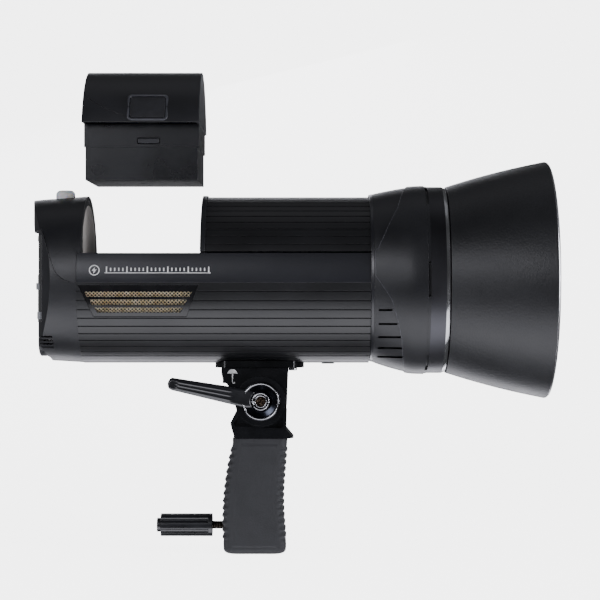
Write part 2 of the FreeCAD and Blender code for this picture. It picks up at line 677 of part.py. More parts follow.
def cooling_fan():
    """The fan frame, held by the collar, and the rotor on its shaft."""
    frame = box("fan_block", ("92", "104"), ("-35", "35"), (up("-35"), up("35")))
    bore = tube_rod("fan_bore", ("91", "105"), "31")
    hub = tube_rod("fan_hub", ("102.6", "104"), "11")
    arms = [box("fan_arm_y", ("102.6", "104"), ("-32", "32"), (up("-1.5"), up("1.5"))),
            box("fan_arm_z", ("102.6", "104"), ("-1.5", "1.5"), (up("-32"), up("32")))]
    shaft_bore = tube_rod("fan_shaft_bore", ("101", "105"), "2")
    solid = fused("fan_solid", cut("fan_ring", frame, bore), hub, *arms)
    node("fan_frame", cut("fan_frame_cut", solid, shaft_bore))
    rotor_hub = tube_rod("rotor_hub", ("93.5", "102"), "10")
    shaft = tube_rod("rotor_shaft", ("101", "103.8"), "2 - shaft_fit")
    blades = []
    for index in range(7):
        blade = doc.addObject("Part::Box", f"blade_{index}")
        blade.Length, blade.Width, blade.Height = 7, 1.4, 21
        tilt = Rotation(Vector(1, 0, 0), index * 360 / 7).multiply(Rotation(Vector(0, 0, 1), 28))
        centre = Vector(97.6, 0, size("axis_height"))
        blade.Placement = Placement(centre + tilt.multVec(Vector(-3.5, -0.7, 9)), tilt)
        blades.append(blade)
    node("fan_rotor", fused("rotor_solid", rotor_hub, shaft, *blades))


def power_parts():
    """The flash capacitors behind the bulkhead, and the board that stands between them."""
    places = ((-36, -20), (0, -40), (36, -20), (-25, 32), (25, 32))
    cans = [tube_rod(f"can_{index}", ("flange_front", "50"), "17", y=across, z=height)
            for index, (across, height) in enumerate(places)]
    node("flash_capacitors", grouped("capacitor_cans", *cans))
    node("power_board", box("power_board_block", ("flange_front", "84"), ("-0.8", "0.8"), (up("-18"), up("52"))))


def foot_pad():
    """The small rubber pad under the tube."""
    ring = cut("pad_ring", tube_rod("pad_out", ("51", "60.5"), "tube_radius + 0.8"),
               tube_rod("pad_in", ("50", "61"), "tube_radius"))
    patch = box("pad_patch", ("51", "60.5"), ("-8", "8"), (up("-70"), up("-50")))
    node("foot_pad", common("pad_cut", ring, patch))


# ---- bracket, tilt bolt and lever --------------------------------------------------------

def mount_plate():
    """The saddle plate under the tube and the four screws that hold it."""
    corners = [("-22.2", "-16"), ("29.5", "-16"), ("29.5", "16", "37.5", "0"), ("-22.2", "16"),
               ("-22.2", "-16", "-30.2", "0")]
    corners = [corners[0][:2] + corners[4][2:]] + corners[1:4]
    blank = padded("plate_blank", "XY_Plane", corners, ("plate_low", "plate_low + 6.5"))
    saddle = tube_rod("plate_saddle", ("-40", "50"), "tube_radius")
    places = [(-19.5, -12.2), (-19.5, 12.2), (29, -10.5), (29, 10.5)]
    holes = [rod(f"plate_hole_{index}", "z", ("plate_low - 1", "plate_low + 3.4"), "2", x=along, y=across)
             for index, (along, across) in enumerate(places)]
    node("mount_plate", cut("plate_cut", blank, saddle, *holes))
    screws = [
        fused(f"plate_screw_{index}",
              rod(f"plate_shank_{index}", "z", ("plate_low", "plate_low + 3.4"), "2", x=along, y=across),
              rod(f"plate_head_{index}", "z", ("plate_low - 2", "plate_low"), "3.2", x=along, y=across))
        for index, (along, across) in enumerate(places)
    ]
    node("plate_screws", grouped("plate_screw_group", *screws))


def tilt_bracket():
    """The inverted U bracket: a web, two ears and the boss with the umbrella bore."""
    web = box("bracket_web", ("-24.8", "25.5"), ("-ear_outer", "ear_outer"), ("plate_low - 3.9", "plate_low"))
    boss = box("bracket_boss", ("-24.4", "12"), ("-8", "8"), ("129.6", "plate_low - 1"))
    ear_corners = [
        ("-24.8", "plate_low"), ("-23.5", "133", "-24.6", "137"), ("-14", "121.5"),
        ("24.4", "111.8", "pivot_x", "pivot_z - ear_radius"), ("25.5", "plate_low"),
    ]
    ears = [padded("ear_near", "XZ_Plane", ear_corners, ("-ear_outer", "-ear_inner")),
            padded("ear_far", "XZ_Plane", ear_corners, ("ear_inner", "ear_outer"))]
    solid = fused("bracket_solid", web, boss, *ears)
    umbrella = rod("umbrella_bore", "x", ("-30", "30"), "umbrella_radius", z="umbrella_z")
    pivot = rod("ear_bores", "y", ("-30", "30"), "bolt_radius", x="pivot_x", z="pivot_z")
    clamp = rod("clamp_bore", "y", ("0", "30"), "2.55", x="-14", z="umbrella_z")
    seats = [rod(f"screw_seat_{side}", "z", ("plate_low - 5", "plate_low + 1"), "3.5", x="-19.5", y=f"{side * 12.2}")
             for side in (-1, 1)]
    node("tilt_bracket", cut("bracket_cut", solid, umbrella, pivot, clamp, *seats))


def tilt_bolt():
    """The M8 tilt bolt with its hex head on the far side, and the friction washers."""
    shank = rod("bolt_shank", "y", ("-30.4", "25"), "bolt_radius", x="pivot_x", z="pivot_z")
    head = doc.addObject("Part::Prism", "bolt_head")
    head.Polygon = 6
    head.Placement = Placement(Vector(), TURN["y"])
    bind(head, Circumradius="7.5", Height="5.5", Placement__Base__x="pivot_x", Placement__Base__y="ear_outer",
         Placement__Base__z="pivot_z")
    node("tilt_bolt", fused("bolt_solid", shank, head))
    washers = []
    for index, ends in enumerate((("-ear_inner", "-knuckle_half - 0.4"), ("knuckle_half + 0.4", "ear_inner"))):
        disc = rod(f"washer_disc_{index}", "y", ends, "11.5", x="pivot_x", z="pivot_z")
        hole = rod(f"washer_hole_{index}", "y", ("-30", "30"), "bolt_radius", x="pivot_x", z="pivot_z")
        washers.append(cut(f"washer_{index}", disc, hole))
    node("friction_washers", grouped("washer_pair", *washers))


def tilt_lever():
    """The clamp lever: hub and ribbed arm, bright ring, dished cap and centre screw."""
    def pivot_rod(name, ends, radius):
        return rod(name, "y", ends, radius, x="pivot_x", z="pivot_z")
    hub = pivot_rod("lever_hub", ("hub_outer", "hub_inner"), "hub_radius")
    arm = padded("lever_arm", "XZ_Plane", [
        ("-10", "-6.9"), ("-lever_long + 2", "-3.9"), ("-lever_long + 2", "4.6", "-lever_long", "0.35"),
        ("-10", "6.9"),
    ], ("-34", "-27"), x="pivot_x", z="pivot_z")
    arm.Placement.Rotation = Rotation(Vector(0, 1, 0), size("lever_tilt"))
    ridges = []
    for index in range(3):
        ridge = padded(f"lever_ridge_{index}", "XZ_Plane", [
            ("-24", f"{(index - 1) * 3.4 - 0.8}"), ("-lever_long + 7", f"{(index - 1) * 2.4 - 0.1}"),
            ("-lever_long + 7", f"{(index - 1) * 2.4 + 0.9}"), ("-24", f"{(index - 1) * 3.4 + 0.8}"),
        ], ("-34.8", "-33"), x="pivot_x", z="pivot_z")
        ridge.Placement.Rotation = Rotation(Vector(0, 1, 0), size("lever_tilt"))
        ridges.append(ridge)
    solid = fused("lever_solid", hub, arm, *ridges)
    bore = pivot_rod("lever_bore", ("-36", "-20"), "bolt_radius + shaft_fit")
    seat = pivot_rod("lever_seat", ("-36", "-31"), "14.8")
    node("lever_handle", cut("lever_cut", solid, bore, seat))
    ring = pivot_rod("ring_disc", ("-35.4", "-31"), "14.7")
    opening = pivot_rod("ring_opening", ("-37", "-30"), "12.2")
    node("lever_ring", cut("ring_cut", ring, opening))
    cap = drawn_body("cap_body", x="pivot_x", z="pivot_z")
    spin = cap.newObject("PartDesign::Revolution", "cap_turn")
    profile = [("3", "-31"), ("12.1", "-31"), ("12.1", "-33.2"), ("7", "-31.9"), ("6.6", "-35.6"),
               ("5.6", "-35.6"), ("5.6", "-32.4"), ("3", "-32.4")]
    spin.Profile = outline(cap, "cap_profile", "XY_Plane", profile)
    spin.ReferenceAxis = (spin.Profile[0], ["V_Axis"])
    spin.Angle = 360
    node("lever_cap", cap)
    head = pivot_rod("screw_head", ("-35", "-32.4"), "3.9")
    shank = pivot_rod("screw_shank", ("-32.4", "-31.2"), "2.9")
    slots = [box("screw_slot_x", ("pivot_x - 2.4", "pivot_x + 2.4"), ("-36", "-34"), ("pivot_z - 0.5", "pivot_z + 0.5")),
             box("screw_slot_z", ("pivot_x - 0.5", "pivot_x + 0.5"), ("-36", "-34"), ("pivot_z - 2.4", "pivot_z + 2.4"))]
    node("lever_screw", cut("screw_cut", fused("screw_solid", head, shank), *slots))


def umbrella_clamp():
    """The thumbscrew that clamps an umbrella shaft."""
    stud = rod("umbrella_stud_rod", "y", ("5", "27"), "2.49", x="-14", z="umbrella_z")
    head = rod("umbrella_head", "y", ("27", "36"), "7.6", x="-14", z="umbrella_z")
    flutes = []
    for index in range(8):
        angle = math.radians(index * 45)
        flutes.append(rod(f"umbrella_flute_{index}", "y", ("26", "37"), "1.5",
                          x=f"-14 + {8.4 * math.cos(angle):.3f}", z=f"umbrella_z + {8.4 * math.sin(angle):.3f}"))
    node("umbrella_knob", fused("umbrella_knob_solid", stud, cut("umbrella_head_cut", head, *flutes)))


# ---- grip, stand socket and clamp --------------------------------------------------------

def grip_head():
    """The lower knuckle with its side pockets, the rear spur and the core inside the rubber."""
    body = padded("grip_head_side", "XZ_Plane", [
        ("-6.9", "117"), ("-12.1", "112.4"), ("-18.3", "100"), ("-14.8", "grip_top", "-17.3", "95.6"),
        ("25.4", "grip_top"), ("29.6", "88.6"), ("24", "95.3"), ("24.5", "109"), ("17.1", "117"),
        ("-6.9", "117", "pivot_x", "pivot_z + knuckle_radius"),
    ][:-1] + [], ("-knuckle_half", "knuckle_half"))
    crown = rod("knuckle_crown", "y", ("-knuckle_half", "knuckle_half"), "knuckle_radius",
                x="pivot_x", z="pivot_z")
    core = box("grip_core", ("-16.6", "15"), ("-core_half", "core_half"), ("4", "grip_top"))
    pockets = []
    for index, ends in enumerate((("-knuckle_half - 1", "-knuckle_half + 2.2"), ("knuckle_half - 2.2", "knuckle_half + 1"))):
        rear = padded(f"rear_pocket_{index}", "XZ_Plane",
                      [("-10", "109"), ("-15.6", "99.6"), ("-14.4", "97.4"), ("-1.8", "97"), ("-1.2", "103")], ends)
        front = padded(f"front_pocket_{index}", "XZ_Plane",
                       [("1.6", "103"), ("2.7", "96.7"), ("20", "95.9"), ("21.4", "97.4"), ("21.4", "107")], ends)
        pockets += [rear, front]
    bolt = rod("grip_bolt_bore", "y", ("-30", "30"), "bolt_radius + shaft_fit", x="pivot_x", z="pivot_z")
    socket = rod("core_socket_bore", "z", ("0", "socket_deep + 2"), "socket_radius + socket_wall")
    insert = rod("core_insert_bore", "x", ("-20", "-11"), "5.2", z="knob_z")
    stud = rod("core_stud_bore", "x", ("-20", "0"), "3.4", z="knob_z")
    node("grip_head", cut("grip_head_cut", fused("grip_head_solid", body, crown, core), *pockets,
                          bolt, socket, insert, stud))


def grip_rubber():
    """The rubber sleeve over the core, swelling towards the heel, ridged front and back."""
    body = padded("rubber_side", "XZ_Plane", [
        ("-15.8", "grip_top"), ("-24.4", "22", "-21.5", "62"), ("-24", "5"), ("-19", "0", "-22.6", "1.4"),
        ("19.2", "0"), ("24.2", "5", "22.7", "1.4"), ("23.2", "20"), ("23.2", "62", "22.1", "42"),
        ("25.3", "grip_top"),
    ], ("-grip_half", "grip_half"))
    doc.recompute()
    faces = [size("-grip_half"), size("grip_half")]
    def on_side_face(edge):
        box_of_edge = edge.BoundBox
        flat = box_of_edge.YLength < 0.01 and min(abs(box_of_edge.YMin - face) for face in faces) < 0.01
        return flat and box_of_edge.ZMin < size("grip_top") - 1
    soft = softened("rubber_soft", body, 4.5, on_side_face)
    core = box("rubber_core_space", ("-16.6", "15"), ("-core_half", "core_half"), ("-1", "grip_top + 1"))
    filler = box("rubber_heel", ("-16.6", "15"), ("-core_half", "core_half"), ("0.6", "4"))
    socket = rod("rubber_socket_bore", "z", ("-1", "6"), "socket_radius + socket_wall")
    stud = rod("rubber_stud_bore", "x", ("-30", "-16"), "5.6", z="knob_z")
    sleeve = cut("rubber_sleeve", soft, core, stud)
    node("grip_rubber", fused("rubber_solid", sleeve, cut("rubber_heel_cut", filler, socket)))


def stand_socket():
    """The metal socket sleeve for the stand spigot, closed at the top."""
    outer = rod("sleeve_outer", "z", ("0", "socket_deep + 2"), "socket_radius + socket_wall")
    bore = rod("sleeve_bore", "z", ("-1", "socket_deep"), "socket_radius")
    stud = rod("sleeve_stud_bore", "x", ("-20", "0"), "3.4", z="knob_z")
    node("socket_sleeve", cut("sleeve_cut", outer, bore, stud))


def stand_clamp():
    """The threaded insert, the shoe, the stud and the fluted clamp knob."""
    insert = rod("insert_rod", "x", ("-16.6", "-11"), "5.2", z="knob_z")
    thread = rod("insert_bore", "x", ("-18", "-9"), "stud_radius + shaft_fit", z="knob_z")
    node("thread_insert", cut("insert_cut", insert, thread))
    node("clamp_shoe", rod("shoe_rod", "x", ("-11.7", "-8.9"), "3", z="knob_z"))
    stud = node("clamp_stud", rod("stud_rod", "x", ("-52", "-12.1"), "stud_radius", z="knob_z"))
    body = drawn_body("knob_body", z="knob_z")
    pad = body.newObject("PartDesign::Pad", "knob_pad")
    circle = body.newObject("Sketcher::SketchObject", "knob_circle")
    circle.AttachmentSupport = [(own_plane(body, "YZ_Plane"), "")]
    circle.MapMode = "FlatFace"
    bind(circle, AttachmentOffset__Base__z="knob_left")
    radius = size("knob_radius")
    circle.addGeometry(Part.Circle(Vector(), Vector(0, 0, 1), radius), False)
    circle.addConstraint(Sketcher.Constraint("Coincident", 0, 3, -1, 1))
    circle.addConstraint(Sketcher.Constraint("Radius", 0, radius))
    circle.setExpression("Constraints[1]", linked("knob_radius"))
    pad.Profile = circle
    bind(pad, Length="knob_right - knob_left")
    doc.recompute()
    flute = body.newObject("PartDesign::Pocket", "knob_flute")
    flute.Profile = outline(body, "knob_flute_outline", "YZ_Plane", [
        ("-2.1", "knob_radius + 1"), ("2.1", "knob_radius + 1", "0", "knob_radius - 1.5"),
    ], offset="knob_left")
    flute.Reversed = True
    bind(flute, Length="knob_right - knob_left - 3")
    doc.recompute()
    pattern = body.newObject("PartDesign::PolarPattern", "knob_flutes")
    pattern.Originals = [flute]
    pattern.Axis = (own_plane_axis(body, "X_Axis"), [""])
    pattern.Angle = 360
    pattern.Occurrences = 6
    body.Tip = pattern
    cap = rod("knob_cap", "x", ("knob_left - 3", "knob_left"), "5.35", z="knob_z")
    node("stand_knob", cut("knob_cut", fused("knob_solid", body, cap), stud))


# ---- battery -----------------------------------------------------------------------------

def battery_case():
    """The battery's lower case: an open tub with a stepped wall and a slot for each catch."""
    lower = box("case_lower", ("-125", "-41.4"), ("-44.8", "44.8"), (lifted("bay_floor + 0.4"), lifted("3.4")))
    upper = box("case_upper", ("-125.9", "-40.4"), ("-46", "46"), (lifted("3.4"), lifted("20.6")))
    hollow = box("case_hollow", ("-123", "-43.4"), ("-42.8", "42.8"), (lifted("bay_floor + 2.4"), lifted("21")))
    wide = box("case_hollow_wide", ("-123.9", "-42.4"), ("-44", "44"), (lifted("5.4"), lifted("21")))
    slots = box("catch_slots", ("latch_place - 8.3", "latch_place + 8.3"), ("-50", "50"),
                (lifted("5.9"), lifted("10.1")))
    node("battery_case", cut("case_cut", fused("case_solid", lower, upper), hollow, wide, slots))


def lifted(height):
    """A height on the lifted battery, given as the height it has from the tube axis when seated."""
    return f"axis_height + battery_lift + ({height})"


def battery_round(name, ends, radius):
    return rod(name, "x", ends, radius, z=lifted("0"))


def battery_shell():
    """The curved outer shell that carries on the tube's line, with the two button openings."""
    ends = ("-126.4", "-39.9")
    inner_ends = ("-124.2", "-42.1")
    above = box("shell_above", ends, ("-70", "70"), (lifted("20.6"), lifted("70")))
    outside = common("shell_outside", battery_round("shell_round", ends, "tube_radius"), above)
    hollow = battery_round("shell_hollow", inner_ends, "tube_radius - tube_wall")
    openings = box("button_openings", ("latch_place - 13.5", "latch_place + 13.5"), ("-80", "80"),
                   (lifted("23.6"), lifted("40.6")))
    node("battery_shell", cut("shell_cut", outside, hollow, openings))


def battery_inside():
    """The eleven cells."""
    places = [(across, height) for height in (-9.6, 9.4) for across in (-28.2, -9.4, 9.4, 28.2)]
    places += [(-18.8, 28.4), (0, 28.4), (18.8, 28.4)]
    cells = [rod(f"cell_{index}", "x", ("-116", "-51"), "cell_radius", y=across, z=lifted(height))
             for index, (across, height) in enumerate(places)]
    node("battery_cells", grouped("cell_pack", *cells))


def battery_latches():
    """Each release button, curved like the shell, with the catch that it draws in."""
    for side, name in ((-1, "left"), (1, "right")):
        def reach(near, far):
            return (f"-({far})", f"-({near})") if side < 0 else (near, far)
        block = box(f"button_block_{name}", ("latch_place - 13", "latch_place + 13"), reach("43", "70"),
                    (lifted("24.1"), lifted("40.1")))
        curve = battery_round(f"button_curve_{name}", ("-100", "-50"), "tube_radius + 0.3")
        button = common(f"button_cut_{name}", block, curve)
        arm = box(f"catch_arm_{name}", ("latch_place - 7.8", "latch_place + 7.8"), reach("41", "43"),
                  (lifted("6.3"), lifted("36")))
        tab = box(f"catch_tab_{name}", ("latch_place - 7.8", "latch_place + 7.8"), reach("43", "47.6"),
                  (lifted("6.3"), lifted("9.7")))
        node(f"release_button_{name}", fused(f"button_solid_{name}", button, arm, tab))


# ---- build, check and write --------------------------------------------------------------

for make in (
    tube_shells, side_bands, battery_bay, vents,
    rear_hood, sensor_dome, rear_cover, control_panel, control_dial, rear_sockets,
    front_collar, mount_ring, release_slider, reflector, flash_head, cooling_fan, power_parts, foot_pad,
    mount_plate, tilt_bracket, tilt_bolt, tilt_lever, umbrella_clamp,
    grip_head, grip_rubber, stand_socket, stand_clamp,
    battery_case, battery_shell, battery_inside, battery_latches,
):
    make()
doc.recompute()

failed = [thing.Name for thing in doc.Objects if {"Invalid", "Error"} & set(thing.State)]
if failed:
    raise ValueError(f"failed to recompute: {failed}")
for piece in NODES:
    if piece.Shape.isNull() or not piece.Shape.isValid() or piece.Shape.Volume < 1:
        raise ValueError(f"{piece.Label} has no valid shape")
    piece.Shape.exportStep(f"parts/{piece.Label}.step")
print(len(NODES), "sub-parts")
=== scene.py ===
import json
import math

import bmesh
import bpy
from mathutils import Matrix, Vector
from mathutils.bvhtree import BVHTree

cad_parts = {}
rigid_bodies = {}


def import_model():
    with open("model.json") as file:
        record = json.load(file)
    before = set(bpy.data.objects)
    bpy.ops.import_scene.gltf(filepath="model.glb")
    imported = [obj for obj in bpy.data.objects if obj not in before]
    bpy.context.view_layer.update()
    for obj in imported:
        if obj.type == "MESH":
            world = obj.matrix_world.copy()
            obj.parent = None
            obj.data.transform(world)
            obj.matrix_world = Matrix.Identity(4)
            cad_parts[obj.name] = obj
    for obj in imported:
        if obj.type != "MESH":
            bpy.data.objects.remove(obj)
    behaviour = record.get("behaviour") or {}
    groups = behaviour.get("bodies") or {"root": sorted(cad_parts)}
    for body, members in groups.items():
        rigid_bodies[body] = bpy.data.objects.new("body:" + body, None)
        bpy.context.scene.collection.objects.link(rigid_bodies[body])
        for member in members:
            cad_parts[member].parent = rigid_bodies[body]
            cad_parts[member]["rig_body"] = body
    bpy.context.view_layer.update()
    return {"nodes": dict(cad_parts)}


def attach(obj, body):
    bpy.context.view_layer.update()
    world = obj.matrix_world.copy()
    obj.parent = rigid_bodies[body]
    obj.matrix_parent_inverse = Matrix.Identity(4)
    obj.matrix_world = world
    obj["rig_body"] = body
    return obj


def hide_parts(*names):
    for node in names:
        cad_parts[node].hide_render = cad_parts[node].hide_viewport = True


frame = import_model()
solids = frame["nodes"]

# ---- Camera, floor and studio light ----
# The lamp is seen square from its left side on a pale paper sweep that curves up behind it.
# A soft box in front and a wide one below light the near side, and strips light the ends.

# Height of the tube's axis above the floor, in metres.
AXIS = 0.2083
scene = bpy.context.scene


def colour(code):
    """An sRGB hex code as linear red, green, blue and alpha."""
    parts = [int(code[place:place + 2], 16) / 255 for place in (1, 3, 5)]
    return [part / 12.92 if part <= 0.04045 else ((part + 0.055) / 1.055) ** 2.4
            for part in parts] + [1.0]


def add(tree, kind, inputs=None, **settings):
    """Adds a node, sets its properties, and sets or links its inputs by name or place."""
    made = tree.nodes.new(kind)
    for name, value in settings.items():
        setattr(made, name, value)
    for socket, value in (inputs or {}).items():
        if isinstance(value, bpy.types.NodeSocket):
            tree.links.new(value, made.inputs[socket])
        else:
            made.inputs[socket].default_value = value
    return made


def finish(name, **values):
    """A new material with the shader's own sockets set, and its tree and shader."""
    coat = bpy.data.materials.new(name)
    coat.use_nodes = True
    shader = coat.node_tree.nodes["Principled BSDF"]
    for socket, value in values.items():
        shader.inputs[socket.replace("_", " ")].default_value = value
    return coat, coat.node_tree, shader


def mottled(tree, shader, size, dark, light, rough):
    """Slow changes of tint and gloss over a surface, from patches of a given size in mm."""
    place = add(tree, "ShaderNodeTexCoord").outputs["Object"]
    patches = add(tree, "ShaderNodeTexNoise", {"Vector": place, "Scale": 1000 / size, "Detail": 2.0})
    ramp = add(tree, "ShaderNodeValToRGB", {"Fac": patches.outputs["Fac"]})
    ramp.color_ramp.elements[0].position = 0.3
    ramp.color_ramp.elements[1].position = 0.7
    ramp.color_ramp.elements[0].color = colour(dark)
    ramp.color_ramp.elements[1].color = colour(light)
    tree.links.new(ramp.outputs["Color"], shader.inputs["Base Color"])
    gloss = add(tree, "ShaderNodeMapRange", {"Value": patches.outputs["Fac"], "From Min": 0.3,
                                             "From Max": 0.7, "To Min": rough[0], "To Max": rough[1]})
    tree.links.new(gloss.outputs["Result"], shader.inputs["Roughness"])
    return place


def grained(tree, shader, place, size, height, detail=2.0):
    """A fine relief over a surface: grain size and height in mm."""
    grain = add(tree, "ShaderNodeTexNoise", {"Vector": place, "Scale": 1000 / size, "Detail": detail})
    relief = add(tree, "ShaderNodeBump", {"Height": grain.outputs["Fac"], "Distance": height / 1000,
                                          "Strength": 1.0})
    tree.links.new(relief.outputs["Normal"], shader.inputs["Normal"])


camera = bpy.data.objects.new("camera", bpy.data.cameras.new("camera"))
scene.collection.objects.link(camera)
camera.location = (0.0345, -1.5, 0.193)
camera.rotation_euler = (math.pi / 2, 0, 0)
camera.data.lens = 117.5
camera.data.sensor_width = 36
camera.data.clip_start = 0.05
scene.camera = camera

sweep_form = bmesh.new()
bend = 0.9
outline = [(-3.5, 0.0), (1.1, 0.0)]
outline += [(1.1 + bend * math.sin(k * math.pi / 24), bend - bend * math.cos(k * math.pi / 24))
            for k in range(1, 13)]
outline += [(2.0, 3.6)]
rows = [[sweep_form.verts.new((side * 4, along, height - 0.0004)) for side in (-1, 1)]
        for along, height in outline]
for first, second in zip(rows, rows[1:]):
    sweep_form.faces.new((first[0], first[1], second[1], second[0]))
sweep_mesh = bpy.data.meshes.new("sweep")
sweep_form.to_mesh(sweep_mesh)
sweep_mesh.shade_smooth()
sweep = bpy.data.objects.new("sweep", sweep_mesh)
scene.collection.objects.link(sweep)
# Paper: an even pale white, kept out of reflections so that the black finishes stay dark.
paper, tree, shader = finish("matt_white_paper_sweep", Emission_Color=colour("#fdfdfd"),
                             Emission_Strength=4.6)
mottled(tree, shader, 400, "#f4f4f3", "#f8f8f7", (0.85, 0.95))
sweep_mesh.materials.append(paper)
sweep.visible_glossy = False
sweep.visible_diffuse = False
sweep.visible_shadow = False

world = bpy.data.worlds.new("studio")
scene.world = world
world.use_nodes = True
tree = world.node_tree
tree.nodes["Background"].inputs["Color"].default_value = colour("#f4f6fa")
ray = add(tree, "ShaderNodeLightPath")
bright = add(tree, "ShaderNodeMapRange", {"Value": ray.outputs["Is Camera Ray"], "To Min": 0.1,
                                          "To Max": 6.0})
tree.links.new(bright.outputs["Result"], tree.nodes["Background"].inputs["Strength"])


def soft_box(name, place, aim, size, power):
    """An area light that looks at a point."""
    light = bpy.data.lights.new(name, "AREA")
    light.shape = "RECTANGLE"
    light.size, light.size_y = size
    light.energy = power
    light.color = colour("#f7f7ff")[:3]
    holder = bpy.data.objects.new(name, light)
    scene.collection.objects.link(holder)
    holder.location = place
    holder.visible_camera = False
    holder.rotation_euler = (Vector(aim) - Vector(place)).to_track_quat("-Z", "Y").to_euler()


soft_box("key_box", (-0.8, -1.7, 0.75), (0.06, 0, AXIS), (0.9, 0.6), 11)
soft_box("under_box", (0.05, -0.55, -0.75), (0.05, 0, AXIS), (2.0, 0.9), 17)
soft_box("right_strip", (1.35, -0.55, 0.35), (0.15, 0, AXIS), (0.25, 1.0), 16)
soft_box("left_strip", (-1.3, -0.4, 0.3), (-0.1, 0, AXIS), (0.25, 1.0), 6)
soft_box("top_box", (0.05, 0.25, 1.6), (0.05, 0, AXIS), (1.6, 0.7), 1)
soft_box("back_box", (-0.3, 1.8, 0.85), (0.02, 0, AXIS), (1.1, 0.6), 7)
soft_box("back_under_box", (-0.1, 1.0, -0.5), (0.02, 0, AXIS), (1.6, 0.4), 8)

# ---- Ribbed tube ----
# Two curved aluminium shells with fine rolled grooves, sprayed a fine-grained satin black
# and screwed to the frame inside. The paint keeps a soft sheen along the crests.


def form_of(mesh):
    """An editable form with a copy of a mesh."""
    form = bmesh.new()
    form.from_mesh(mesh)
    return form


def joined(form):
    """Merges the corners of a form that lie on one another."""
    bmesh.ops.remove_doubles(form, verts=form.verts, dist=1e-6)


def outward(form):
    """Turns a closed form's faces outward."""
    bmesh.ops.recalc_face_normals(form, faces=form.faces)


def welded(node):
    """A copy of a solid's mesh with its corners joined and its flat faces made whole."""
    form = form_of(solids[node].data)
    joined(form)
    bmesh.ops.dissolve_limit(form, angle_limit=math.radians(0.4), verts=form.verts, edges=form.edges)
    return form


def piece(name, form, body, coats, stands_for=()):
    """Turns a finished form into a piece that rides on a body and stands for CAD nodes."""
    mesh = bpy.data.meshes.new(name)
    form.to_mesh(mesh)
    form.free()
    for coat in coats:
        mesh.materials.append(coat)
    mesh.shade_smooth()
    made = bpy.data.objects.new(name, mesh)
    scene.collection.objects.link(made)
    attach(made, body)
    if stands_for:
        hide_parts(*stands_for)
    return made


def rounded(made, edge, turn=32, steps=2):
    """Rounds a piece's edges by a radius in mm and keeps its broad faces flat."""
    bevel = made.modifiers.new("rounded_edges", "BEVEL")
    bevel.width = edge / 1000
    bevel.segments = steps
    bevel.limit_method = "ANGLE"
    bevel.angle_limit = math.radians(turn)
    bevel.miter_outer = "MITER_ARC"
    weighted = made.modifiers.new("flat_faces", "WEIGHTED_NORMAL")
    weighted.weight = 60


def finished(node, coat, edge=0.3, steps=2):
    """A part taken as it is made, with its edges rounded as the tool or mould leaves them."""
    made = piece(node + "_finish", welded(node), solids[node]["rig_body"], [coat], [node])
    rounded(made, edge, steps=steps)


def plain(thing):
    """The mesh of an object with its modifiers and bevels worked out."""
    bpy.context.view_layer.update()
    made = thing.evaluated_get(bpy.context.evaluated_depsgraph_get())
    return bpy.data.meshes.new_from_object(made)


def carved(form, cutter):
    """A form with another form's space taken out of it."""
    made = []
    for part in (form, cutter):
        mesh = bpy.data.meshes.new("blank")
        part.to_mesh(mesh)
        part.free()
        made.append(bpy.data.objects.new("blank", mesh))
        scene.collection.objects.link(made[-1])
    cut = made[0].modifiers.new("cut", "BOOLEAN")
    cut.operation = "DIFFERENCE"
    cut.solver = "EXACT"
    cut.object = made[1]
    mesh = plain(made[0])
    for thing in made:
        bpy.data.objects.remove(thing)
    return form_of(mesh)


def coated(name, patch, dark, light, rough, grain=(), **values):
    """A finish with uneven tint and gloss in patches of a size, and a grain (size, height) in mm."""
    coat, tree, shader = finish(name, **values)
    place = mottled(tree, shader, patch, dark, light, rough)
    if grain:
        grained(tree, shader, place, *grain)
    return coat


# Satin paint: a soft, faintly grained sheen that follows the grooves.
tube_paint = coated("satin_black_paint_on_aluminium", 45, "#0a0b0d", "#101114", (0.36, 0.44),
                    grain=(1.1, 0.04), IOR=1.5, Coat_Weight=0.15, Coat_Roughness=0.35)
finished("lower_shell", tube_paint, edge=0.14)
finished("upper_shell", tube_paint, edge=0.14)

# ---- Side bands ----
# A smooth painted aluminium strip runs along each side of the tube between the ribbed
# shells. The print on it is a plain bolt in a ring and a row of power marks.

# Lacquer: smoother and a shade lighter than the ribs, so the band shows as a stripe.
band_paint = coated("smooth_satin_black_lacquer", 60, "#15161b", "#1b1c22", (0.30, 0.38),
                    grain=(1.4, 0.03), IOR=1.5, Coat_Weight=0.3, Coat_Roughness=0.22)
finished("side_bands", band_paint)

# Pad print: flat warm white, slightly uneven in the ink.
white_print = coated("white_pad_print", 3, "#dcdcda", "#f0f0ee", (0.45, 0.6), IOR=1.5)


def started(name, **inputs):
    """A new geometry tree with named inputs and one mesh out, and its inputs' sockets."""
    tree = bpy.data.node_groups.new(name, "GeometryNodeTree")
    for label, kind in inputs.items():
        tree.interface.new_socket(label.replace("_", " "), in_out="INPUT",
                                  socket_type="NodeSocket" + kind)
    tree.interface.new_socket("Mesh", in_out="OUTPUT", socket_type="NodeSocketGeometry")
    return tree, add(tree, "NodeGroupInput").outputs


def ended(tree, given, made):
    """Makes a tree's instances real, sets the material and gives the mesh out."""
    whole = add(tree, "GeometryNodeRealizeInstances", {"Geometry": made.outputs[0]})
    dressed = add(tree, "GeometryNodeSetMaterial", {"Geometry": whole.outputs[0],
                                                    "Material": given["Material"]})
    add(tree, "NodeGroupOutput", {0: dressed.outputs[0]})


def maths(tree, operation, *values):
    """The result of a maths node."""
    return add(tree, "ShaderNodeMath", dict(enumerate(values)), operation=operation).outputs[0]


def vector(tree, **parts):
    """A vector from its parts."""
    return add(tree, "ShaderNodeCombineXYZ", parts).outputs[0]


